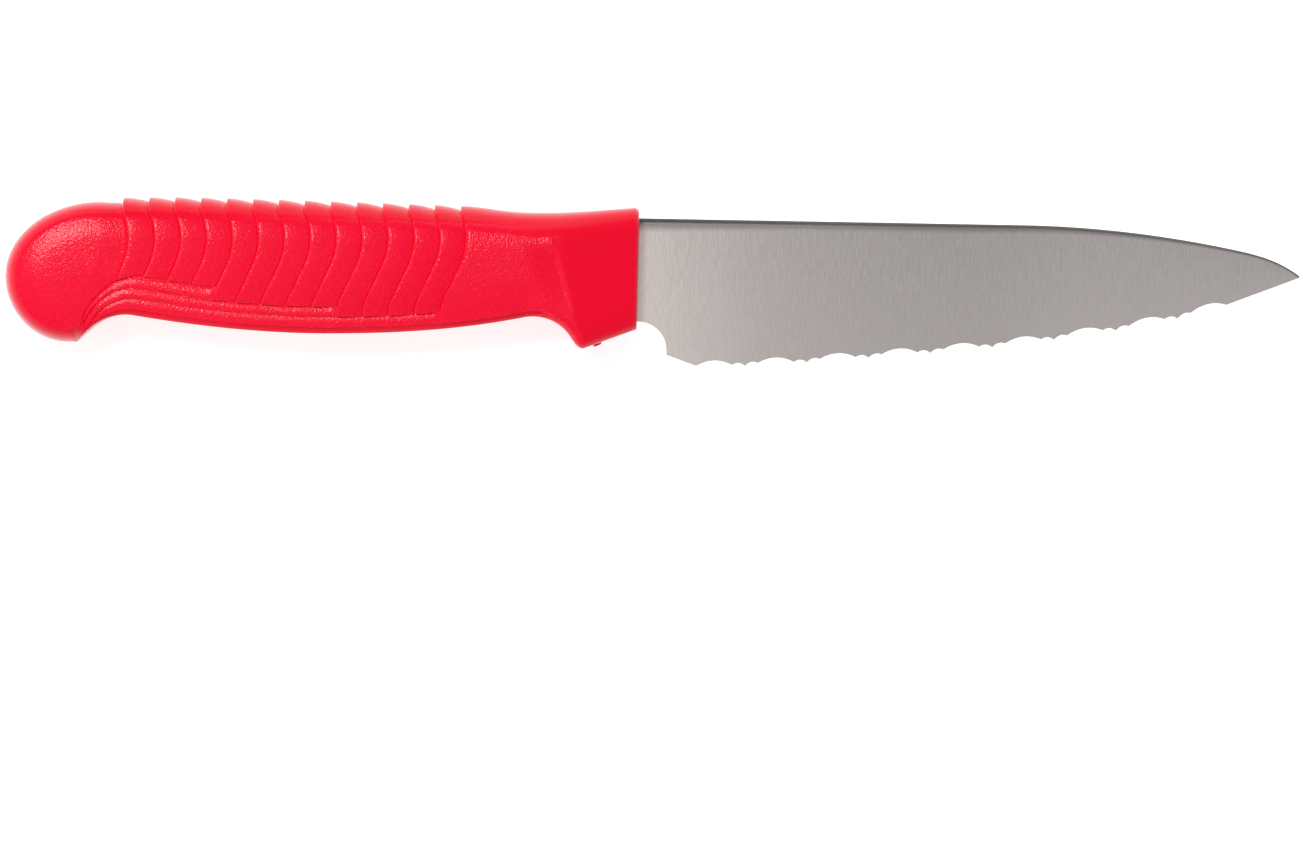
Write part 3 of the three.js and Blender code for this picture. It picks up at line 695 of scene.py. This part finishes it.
def tube_faces(count, size):
    """Faces of a closed body through rings of points."""
    faces = []
    for i in range(count - 1):
        a, b = i * size, (i + 1) * size
        faces += [(a + j, a + (j + 1) % size, b + (j + 1) % size, b + j) for j in range(size)]
    faces.append(tuple(range(size))[::-1])
    faces.append(tuple((count - 1) * size + j for j in range(size)))
    return faces


def combine(obj, other, operation):
    """Joins another closed shape to an object or cuts it away."""
    modifier = obj.modifiers.new("shape", "BOOLEAN")
    modifier.operation = operation
    modifier.solver = "MANIFOLD"
    modifier.object = other
    graph = bpy.context.evaluated_depsgraph_get()
    mesh = bpy.data.meshes.new_from_object(obj.evaluated_get(graph))
    obj.modifiers.remove(modifier)
    old = obj.data
    obj.data = mesh
    bpy.data.meshes.remove(old)
    bpy.data.objects.remove(other)


# Heights of the rows on the wall under the handle, as shares of its half thickness
WALL_SHARES = (0.75, 0.4, 0.0)


def handle_skin():
    rows = handle_rows()
    x = column_x(rows)
    near, grain = surface(x, rows, inset * np.ones_like(rows))
    near[:, 0, 2] = 0
    near[:, -1, 2] *= x[:, -1] > HOOK_X
    ones = np.ones(len(WALL_SHARES))
    wall = near[:, -1:] * np.stack([ones, ones, WALL_SHARES], axis=1)
    near = np.concatenate([near, wall], axis=1)
    grain = np.concatenate([grain, np.zeros((len(grain), len(WALL_SHARES)))], axis=1)
    far = near[:, -2:0:-1] * np.array([1, 1, -1])
    rings = np.concatenate([near, far], axis=1)
    ring_grain = np.concatenate([grain, grain[:, -2:0:-1]], axis=1)
    columns, size = rings.shape[:2]
    points = np.concatenate([[[BUTT_X, BUTT_Y, 0]], rings.reshape(-1, 3)])
    values = np.concatenate([[0.0], ring_grain.ravel()])

    def at(i, j):
        return 1 + i * size + j % size

    faces = [(0, at(0, j + 1), at(0, j)) for j in range(size)]
    for i in range(columns - 1):
        faces += [(at(i, j), at(i, j + 1), at(i + 1, j + 1), at(i + 1, j)) for j in range(size)]
    last = columns - 1
    for j in range(size // 2):
        quad = [at(last, -j), at(last, j), at(last, j + 1), at(last, -j - 1)]
        faces.append(tuple(dict.fromkeys(quad)))
    return new_object("handle_moulding", points, faces, {"grain": values})


# Blade

def spine_y(x):
    sweep = np.maximum(0, x - (BLADE_LENGTH - SWEEP_LENGTH))
    nose = np.maximum(0, x - (BLADE_LENGTH - NOSE_LENGTH)) / NOSE_LENGTH
    return -SPINE_SLOPE * x - sweep ** 2 / (2 * SWEEP_RADIUS) - NOSE_DROP * nose ** 3


tooth_line = curve_through(TOOTH_LINE)
LAST_TOOTH = FIRST_TOOTH + TOOTH_PITCHES * TOOTH_PITCH + LARGE_SCALLOP
TIP_Y = float(spine_y(BLADE_LENGTH))


def edge_y(x):
    t = (x - LAST_TOOTH) / (BLADE_LENGTH - LAST_TOOTH)
    straight = mix(tooth_line(LAST_TOOTH), TIP_Y - TIP_BLUNT, t)
    return np.where(x < LAST_TOOTH, tooth_line(x), straight)


FULL_HEIGHT = float(spine_y(FIRST_TOOTH) - edge_y(FIRST_TOOTH))


LARGE_POINTS = 16
SMALL_POINTS = 9
NOTCH_POINTS = 18
NOTCH_END_TURN = 0.04
HEEL_POINTS = 9
TIP_POINTS = 26


def scallop_ends(i):
    """Ends of the scallops in one pitch, as (x, recess of the point there, rise, points)."""
    start = FIRST_TOOTH + i * TOOTH_PITCH
    large_end = start + LARGE_SCALLOP
    if i == TOOTH_PITCHES:
        return [(large_end, 0.0, LARGE_RISE, LARGE_POINTS)]
    small = (TOOTH_PITCH - LARGE_SCALLOP) / 2
    return [
        (large_end, mix(*RECESS_BEFORE, i / TOOTH_PITCHES), LARGE_RISE, LARGE_POINTS),
        (large_end + small, 0.0, SMALL_RISE, SMALL_POINTS),
        (start + TOOTH_PITCH, RECESS_AFTER, SMALL_RISE, SMALL_POINTS),
    ]


def heel_rows():
    """Root, notch and heel of the blade, as (x, y, sharpness)."""
    rows = [(-SHOULDER, -HEEL_DEPTH, 0.0), (-0.6, -HEEL_DEPTH, 0.0)]
    for turn in np.linspace(math.pi / 2, NOTCH_END_TURN, NOTCH_POINTS):
        fall = NOTCH_RADIUS * (1 - math.sin(turn))
        rows.append((NOTCH_RADIUS * math.cos(turn), -HEEL_DEPTH - fall, 0.0))
    first_y = float(tooth_line(FIRST_TOOTH))
    for t in np.linspace(0, 1, HEEL_POINTS):
        x = mix(NOTCH_RADIUS, FIRST_TOOTH, t)
        rows.append((x, mix(-HEEL_CORNER_DEPTH, first_y, t), float(smooth(t * 4))))
    return rows


def blade_profile():
    """Lower outline of the blade on its near face, with how sharp the edge is there."""
    rows = heel_rows()
    here = (FIRST_TOOTH, float(tooth_line(FIRST_TOOTH)))
    for i in range(TOOTH_PITCHES + 1):
        for x, recess, rise, count in scallop_ends(i):
            there = (x, float(tooth_line(x)) + recess)
            for t in np.linspace(0, 1, count)[1:]:
                bow = 4 * rise * t * (1 - t)
                rows.append((mix(here[0], there[0], t), mix(here[1], there[1], t) + bow, 1.0))
            here = there
    for t in np.linspace(0, 1, TIP_POINTS)[1:]:
        x = mix(LAST_TOOTH, BLADE_LENGTH, t)
        rows.append((x, float(edge_y(x)), 1.0))
    return np.array(rows)


SPINE_POINTS = 8
BEVEL_POINTS = 4
# Rows of the blade's faces, closer together under the spine
FACE_ROWS = np.array([0.012, 0.026, 0.045, 0.06, *np.linspace(0.08, 1, 12)])


def blade_body():
    profile = blade_profile()
    x, low, sharp = profile[:, :1], profile[:, 1:2], profile[:, 2:]
    top = spine_y(x)
    height = top - edge_y(x)
    half = mix(EDGE, STOCK, height / FULL_HEIGHT) / 2
    round_depth = SPINE_ROUND * height / FULL_HEIGHT
    below_round = top - round_depth

    def half_at(y):
        return mix(half, EDGE / 2, (below_round - y) / (height - round_depth))

    turns = np.linspace(0, math.pi / 2, SPINE_POINTS)[None, :]
    cap_y = top - round_depth * (1 - np.cos(turns))
    cap_z = half * np.sin(turns)
    t = FACE_ROWS[None, :]
    near_y = mix(below_round, low, t)
    near_z = half_at(near_y)
    lift = np.minimum(BEVEL_SLOPE * EDGE * sharp, BEVEL_LIMIT * (below_round - low))
    bevel = np.linspace(0, 1, BEVEL_POINTS)[1:][None, :]
    far_edge_z = -mix(half_at(low), -half_at(low) + EDGE_FLAT, sharp)
    bevel_y = mix(low, low + lift, bevel)
    bevel_z = mix(far_edge_z, -half_at(low + lift), bevel)
    far_y = mix(low + lift, below_round, 1 - t[:, ::-1])
    far_y = np.concatenate([far_y[:, 1:], np.broadcast_to(below_round, low.shape)], axis=1)
    far_z = -half_at(far_y)
    y = np.concatenate([cap_y, near_y, low, bevel_y, far_y, cap_y[:, -2:0:-1]], axis=1)
    z = np.concatenate([cap_z, near_z, far_edge_z, bevel_z, far_z, -cap_z[:, -2:0:-1]], axis=1)
    rings = np.stack([np.broadcast_to(x, y.shape), y, z], axis=-1)
    # Share of the painted dark reflection along the spine: 1 at the top, fading out downwards
    spine = 1 - clamp01((top - y) / curve_through(SPINE_REFLECTION_FADE)(x))
    # Share of the way down the blade, which makes the lower part lighter as painted reflection
    drop = clamp01((top - y) / height)
    shades = {"spine": spine.ravel(), "drop": drop.ravel()}
    return new_object("blade_steel_body", rings.reshape(-1, 3), tube_faces(*y.shape), shades)


def prism(name, outline, half):
    """Upright body with the middle plane of the blade halfway up."""
    points = [(px, py, z) for z in (-half, half) for px, py in outline]
    return new_object(name, points, tube_faces(2, len(outline)))


def ring_outline(cx, cy, radius):
    turns = np.linspace(0, 2 * math.pi, CIRCLE_SIDES, endpoint=False)
    return [(cx + radius * math.cos(a), cy + radius * math.sin(a)) for a in turns]


TANG_MIDDLE = -TANG_TOP_DROP - TANG_HEIGHT / 2
TANG_END_POINTS = 16
TANG_OVERLAP = 1
MOUTH_POINTS = 6


def tang_outline(grow):
    top = -TANG_TOP_DROP + grow
    low = -TANG_TOP_DROP - TANG_HEIGHT - grow
    radius = TANG_END_HEIGHT / 2 + grow
    end = -TANG_LENGTH + TANG_END_HEIGHT / 2
    front = -SHOULDER + TANG_OVERLAP
    back = -SHOULDER - TANG_HEIGHT
    points = [(back, low), (front, low), (front, top), (back, top)]
    for turn in np.linspace(math.pi / 2, 1.5 * math.pi, TANG_END_POINTS):
        points.append((end + radius * math.cos(turn), TANG_MIDDLE + radius * math.sin(turn)))
    return points


def mouth_cutter():
    """Space for the root of the blade in the front of the handle."""
    low = -HEEL_DEPTH - MOUTH_GAP
    half = STOCK / 2 + MOUTH_GAP
    low_half = mix(STOCK, EDGE, HEEL_DEPTH / FULL_HEIGHT) / 2 + MOUTH_GAP
    turns = np.linspace(0, math.pi / 2, MOUTH_POINTS)
    rings = []
    for x in (-SHOULDER - MOUTH_GAP, MOUTH_OVERRUN):
        top = float(spine_y(x)) + MOUTH_GAP
        near = [(x, top - SPINE_ROUND * (1 - math.cos(a)), half * math.sin(a)) for a in turns]
        far = [(x, y, -z) for _, y, z in near[:0:-1]]
        rings.append(near + [(x, low, low_half), (x, low, -low_half)] + far)
    return new_object("mouth", np.array(rings[0] + rings[1]), tube_faces(2, len(rings[0])))


def gate_stub():
    """Broken-off gate on the sloping face under the chin, with a slightly uneven rim."""
    slope = math.atan(CHIN_SLOPE)
    gate_y = float(bottom_y(GATE_X))
    points = []
    for depth, radius in GATE_RINGS:
        for k in range(GATE_SIDES):
            a = 2 * math.pi * k / GATE_SIDES
            uneven = radius * (1 + 0.06 * math.sin(3 * a + 1) + 0.04 * math.sin(7 * a))
            u = uneven * math.cos(a)
            v = depth + (0.05 * math.sin(2 * a) if depth < 0 else 0)
            x = GATE_X + u * math.cos(slope) - v * math.sin(slope)
            y = gate_y + u * math.sin(slope) + v * math.cos(slope)
            points.append((x, y, uneven * math.sin(a)))
    return new_object("gate", points, tube_faces(len(GATE_RINGS), GATE_SIDES))


def outward(obj):
    """Turns all faces of a closed mesh outwards."""
    bm = bmesh.new()
    bm.from_mesh(obj.data)
    bmesh.ops.remove_doubles(bm, verts=bm.verts, dist=1e-7)
    bmesh.ops.recalc_face_normals(bm, faces=bm.faces)
    bm.to_mesh(obj.data)
    bm.free()
    return obj


handle = outward(handle_skin())
combine(handle, outward(mouth_cutter()), "DIFFERENCE")
pocket = prism("pocket", tang_outline(POCKET_GAP), STOCK / 2 + POCKET_GAP)
combine(handle, outward(pocket), "DIFFERENCE")
for back in TANG_HOLE_BACKS:
    peg = prism("peg", ring_outline(-back, TANG_MIDDLE, TANG_HOLE_RADIUS - POCKET_GAP), PEG_HALF)
    combine(handle, outward(peg), "UNION")
combine(handle, outward(gate_stub()), "UNION")

blade = outward(blade_body())
tang = outward(prism("tang", tang_outline(0), STOCK / 2))
for back in TANG_HOLE_BACKS:
    hole = prism("hole", ring_outline(-back, TANG_MIDDLE, TANG_HOLE_RADIUS), HOLE_CUT)
    combine(tang, outward(hole), "DIFFERENCE")
combine(blade, tang, "UNION")


# Materials

# Colours of the moulding: the two ends of its faint clouds, and a lighter, whiter colour on the high
# points of the grain that is painted highlight, standing in for the light the grain catches
PLASTIC_DEEP = (0.89, 0.0005, 0.024)
PLASTIC_LIGHT = (0.93, 0.0007, 0.028)
# Lighter colour of the grain's high points: painted highlight
PLASTIC_SPECK_HIGHLIGHT = (0.97, 0.004, 0.048, 1)
PLASTIC_CLOUDS = 70.0
GRAIN_SCALE = 2800.0
GRAIN_HEIGHT = 0.000052
# Values on the smooth rims and on the grain
GRAIN_BUMP = (0.03, 0.7)
GRAIN_ROUGHNESS = (0.24, 0.21)
GRAIN_HIGHLIGHT_RANGE = (0.75, 1.25)

# Colours of the steel: the two ends of its grinding lines, a lighter lower part that is painted
# reflection, and a dark band along the spine that is painted dark reflection
STEEL_DARK = (0.74, 0.692, 0.673)
STEEL_LIGHT = (0.92, 0.86, 0.838)
# Lighter colour of the lower part of the blade: painted reflection
PAINTED_REFLECTION_STEEL = (0.99, 0.925, 0.9, 1)
PAINTED_REFLECTION_STEEL_SHARE = 0.6
# Dark colour of the band along the spine: painted dark reflection
STEEL_SPINE_DARK_REFLECTION = (0.05, 0.049, 0.049, 1)
SPINE_REFLECTION_RAGGED = (0.4, 0.85)
GRIND_STRETCH = (1.0, 0.09, 1.0)
GRIND_FINE = 5600.0
GRIND_WIDE = 900.0
GRIND_WIDE_SHARE = 0.08
GRIND_BUMP = 0.12
GRIND_HEIGHT = 0.00002
RAMP_ENDS = (0.3, 0.7)


def node_material(name):
    material = bpy.data.materials.new(name)
    material.use_nodes = True
    tree = material.node_tree
    tree.nodes.clear()
    output = tree.nodes.new("ShaderNodeOutputMaterial")
    shader = tree.nodes.new("ShaderNodeBsdfPrincipled")
    tree.links.new(shader.outputs["BSDF"], output.inputs["Surface"])
    return material, tree, shader


def add(tree, kind_name, inputs=None, **settings):
    node = tree.nodes.new(kind_name)
    for key, setting in settings.items():
        setattr(node, key, setting)
    for key, content in (inputs or {}).items():
        if isinstance(content, bpy.types.NodeSocket):
            tree.links.new(content, node.inputs[key])
        else:
            node.inputs[key].default_value = content
    return node


def ramp(tree, fac, colours):
    node = add(tree, "ShaderNodeValToRGB", {"Fac": fac})
    for element, position, colour in zip(node.color_ramp.elements, RAMP_ENDS, colours):
        element.position = position
        element.color = (*colour, 1)
    return node.outputs["Color"]


def noise(tree, place, scale, detail, roughness):
    inputs = {"Vector": place, "Scale": scale, "Detail": detail, "Roughness": roughness}
    return add(tree, "ShaderNodeTexNoise", inputs).outputs["Fac"]


def attribute(tree, name):
    return add(tree, "ShaderNodeAttribute", attribute_name=name).outputs["Fac"]


def calculate(tree, operation, *values, clamp=False):
    inputs = dict(enumerate(values))
    return add(tree, "ShaderNodeMath", inputs, operation=operation, use_clamp=clamp).outputs["Value"]


def mapped(tree, content, low, high, start=0.0, end=1.0):
    inputs = {"Value": content, "From Min": start, "From Max": end, "To Min": low, "To Max": high}
    return add(tree, "ShaderNodeMapRange", inputs).outputs["Result"]


def mixed_colour(tree, factor, first, second):
    inputs = {"Factor": factor, "A": first, "B": second}
    return add(tree, "ShaderNodeMix", inputs, data_type="RGBA").outputs["Result"]


def bumped(tree, strength, distance, height):
    inputs = {"Strength": strength, "Distance": distance, "Height": height}
    return add(tree, "ShaderNodeBump", inputs).outputs["Normal"]


def plastic_material():
    material, tree, shader = node_material("red_moulding")
    place = add(tree, "ShaderNodeTexCoord").outputs["Object"]
    grain = attribute(tree, "grain")
    cell_inputs = {"Vector": place, "Scale": GRAIN_SCALE, "Randomness": 1.0}
    cells = add(tree, "ShaderNodeTexVoronoi", cell_inputs, feature="SMOOTH_F1").outputs["Distance"]
    height = calculate(tree, "ADD", cells, noise(tree, place, GRAIN_SCALE, 2.0, 0.6))
    clouds = noise(tree, place, PLASTIC_CLOUDS, 4.0, 0.55)
    # Lighter colour on the grain's high points: painted highlight of the grain
    painted_grain_highlight = calculate(tree, "MULTIPLY", mapped(tree, height, 0.0, 1.0, *GRAIN_HIGHLIGHT_RANGE), grain)
    colour = ramp(tree, clouds, (PLASTIC_DEEP, PLASTIC_LIGHT))
    colour = mixed_colour(tree, painted_grain_highlight, colour, PLASTIC_SPECK_HIGHLIGHT)
    normal = bumped(tree, mapped(tree, grain, *GRAIN_BUMP), GRAIN_HEIGHT, height)
    tree.links.new(colour, shader.inputs["Base Color"])
    tree.links.new(mapped(tree, grain, *GRAIN_ROUGHNESS), shader.inputs["Roughness"])
    tree.links.new(normal, shader.inputs["Normal"])
    shader.inputs["Specular IOR Level"].default_value = 0.18
    shader.inputs["Sheen Weight"].default_value = 0.4
    shader.inputs["Sheen Roughness"].default_value = 0.3
    return material


def steel_material():
    material, tree, shader = node_material("ground_steel")
    place = add(tree, "ShaderNodeTexCoord").outputs["Object"]
    mapping = add(tree, "ShaderNodeMapping", {"Vector": place, "Scale": GRIND_STRETCH})
    stretched = mapping.outputs["Vector"]
    fine = noise(tree, stretched, GRIND_FINE, 2.0, 0.7)
    wide = noise(tree, stretched, GRIND_WIDE, 3.0, 0.6)
    line_inputs = {"Factor": GRIND_WIDE_SHARE, "A": fine, "B": wide}
    lines = add(tree, "ShaderNodeMix", line_inputs).outputs["Result"]
    # Lighter towards the edge: painted reflection on the lower part of the blade
    painted_low_reflection = mapped(tree, attribute(tree, "drop"), 0.0, PAINTED_REFLECTION_STEEL_SHARE)
    # Dark band along the spine with a ragged lower edge: painted dark reflection of the spine's
    # round
    ragged = calculate(tree, "MULTIPLY_ADD", fine, *SPINE_REFLECTION_RAGGED)
    band = calculate(tree, "MULTIPLY", attribute(tree, "spine"), ragged, clamp=True)
    colour = ramp(tree, lines, (STEEL_DARK, STEEL_LIGHT))
    colour = mixed_colour(tree, painted_low_reflection, colour, PAINTED_REFLECTION_STEEL)
    colour = mixed_colour(tree, band, colour, STEEL_SPINE_DARK_REFLECTION)
    tangent = add(tree, "ShaderNodeTangent", direction_type="RADIAL", axis="X").outputs["Tangent"]
    tree.links.new(colour, shader.inputs["Base Color"])
    tree.links.new(bumped(tree, GRIND_BUMP, GRIND_HEIGHT, lines), shader.inputs["Normal"])
    tree.links.new(tangent, shader.inputs["Tangent"])
    shader.inputs["Metallic"].default_value = 1.0
    shader.inputs["Roughness"].default_value = 0.25
    shader.inputs["Anisotropic"].default_value = 0.3
    return material


def finish_piece(obj, material, node, angle):
    obj.data.materials.clear()
    obj.data.materials.append(material)
    obj.data.polygons.foreach_set("use_smooth", [True] * len(obj.data.polygons))
    obj.data.set_sharp_from_angle(angle=math.radians(angle))
    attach(obj, "root")
    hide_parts(node)


# Edges that turn by more than this many degrees are drawn sharp
HANDLE_SHARP = 50
BLADE_SHARP = 30
finish_piece(handle, plastic_material(), "handle", HANDLE_SHARP)
finish_piece(blade, steel_material(), "blade", BLADE_SHARP)

# Floor and surroundings

scene = bpy.context.scene
scene.view_settings.view_transform = "Standard"


def seen_directly(tree):
    """1 where a ray comes from the camera, a reflection or a clear body."""
    rays = add(tree, "ShaderNodeLightPath").outputs
    seen = rays["Is Camera Ray"]
    for other in ("Is Glossy Ray", "Is Transmission Ray"):
        seen = calculate(tree, "MAXIMUM", seen, rays[other])
    return seen


FLOOR_HALF = 6.0
FLOOR_GAP = 0.0002
FLOOR_COLOUR = (0.74, 0.74, 0.74, 1)
FLOOR_GLOW = 0.66
WHITE = (1, 1, 1, 1)


def make_floor():
    corners = [(-1, -1), (1, -1), (1, 1), (-1, 1)]
    mesh = bpy.data.meshes.new("floor")
    points = [(FLOOR_HALF * x, FLOOR_HALF * y, 0) for x, y in corners]
    mesh.from_pydata(points, [], [(0, 1, 2, 3)])
    obj = bpy.data.objects.new("floor", mesh)
    scene.collection.objects.link(obj)
    obj.location.z = -FLOOR_GAP
    material = bpy.data.materials.new("floor_white")
    material.use_nodes = True
    tree = material.node_tree
    tree.nodes.clear()
    output = tree.nodes.new("ShaderNodeOutputMaterial")
    plain = add(tree, "ShaderNodeBsdfDiffuse", {"Color": FLOOR_COLOUR}).outputs[0]
    glow = add(tree, "ShaderNodeEmission", {"Color": WHITE, "Strength": FLOOR_GLOW}).outputs[0]
    both = add(tree, "ShaderNodeAddShader", {0: plain, 1: glow}).outputs[0]
    chosen = add(tree, "ShaderNodeMixShader", {0: seen_directly(tree), 1: plain, 2: both})
    tree.links.new(chosen.outputs[0], output.inputs["Surface"])
    mesh.materials.append(material)


# The surroundings are brighter towards the horizon than overhead, most of all beyond the spine
ZENITH_LEVEL = 0.3
HAZE_LEVEL = 2.1
HAZE_POWER = 4.0
HAZE_SIDE = 0.7
HAZE_WAY = (-0.45, 0.89, 0.0)


def make_world():
    world = bpy.data.worlds.new("surroundings")
    scene.world = world
    world.use_nodes = True
    tree = world.node_tree
    tree.nodes.clear()
    output = tree.nodes.new("ShaderNodeOutputWorld")
    way = add(tree, "ShaderNodeTexCoord").outputs["Generated"]
    upward = add(tree, "ShaderNodeSeparateXYZ", {"Vector": way}).outputs["Z"]
    product = add(tree, "ShaderNodeVectorMath", {0: way, 1: HAZE_WAY}, operation="DOT_PRODUCT")
    low = calculate(tree, "SUBTRACT", 1.0, upward, clamp=True)
    haze = calculate(tree, "POWER", low, HAZE_POWER)
    side = calculate(tree, "MULTIPLY_ADD", product.outputs["Value"], 1 - HAZE_SIDE, HAZE_SIDE)
    haze = calculate(tree, "MULTIPLY", haze, side)
    level = calculate(tree, "MULTIPLY_ADD", haze, HAZE_LEVEL, ZENITH_LEVEL)
    ambient = add(tree, "ShaderNodeBackground", {"Color": WHITE, "Strength": level})
    tree.links.new(ambient.outputs[0], output.inputs["Surface"])


def softbox(name, place, target, width, height, radiance, colour=(1, 1, 1)):
    light = bpy.data.lights.new(name, "AREA")
    light.shape = "RECTANGLE"
    light.size = width
    light.size_y = height
    light.energy = radiance * width * height * math.pi
    light.color = colour
    obj = bpy.data.objects.new(name, light)
    scene.collection.objects.link(obj)
    obj.location = place
    obj.visible_camera = False
    obj.rotation_mode = "QUATERNION"
    obj.rotation_quaternion = (Vector(target) - Vector(place)).to_track_quat("-Z", "Y")


make_floor()
make_world()
softbox("key", place=(-0.34, 0.4, 1.09), target=(-0.05, 0.0, 0.0),
        width=0.26, height=0.26, radiance=29.0)
softbox("front", place=(0.05, -0.55, 0.5), target=(0.0, 0.0, 0.0),
        width=0.6, height=0.3, radiance=1.2)
softbox("left", place=(-0.232, 0.0, 0.22), target=(-0.232, 0.0001, 0.0),
        width=0.47, height=0.24, radiance=0.4, colour=(1.0, 0.89, 0.85))
softbox("right", place=(0.17, 0.0, 0.12), target=(0.17, 0.0001, 0.0),
        width=0.2, height=0.2, radiance=0.06)

# Camera straight above the knife, with the picture framed lower
VIEW_WIDTH = 0.2248
VIEW_HEIGHT = 1.8
FRAME_MIDDLE = -37.19
KNIFE_MIDDLE = -11.2
VIEW_X = 2.41
SENSOR = 36.0
camera_data = bpy.data.cameras.new("camera")
camera_data.sensor_width = SENSOR
camera_data.lens = SENSOR * VIEW_HEIGHT / VIEW_WIDTH
camera_data.clip_end = 50
camera_data.shift_y = (FRAME_MIDDLE - KNIFE_MIDDLE) / (VIEW_WIDTH * 1000)
camera = bpy.data.objects.new("camera", camera_data)
scene.collection.objects.link(camera)
camera.location = (
    (VIEW_X + ORIGIN[0]) / 1000,
    (KNIFE_MIDDLE + ORIGIN[1]) / 1000,
    ORIGIN[2] / 1000 + VIEW_HEIGHT,
)
scene.camera = camera
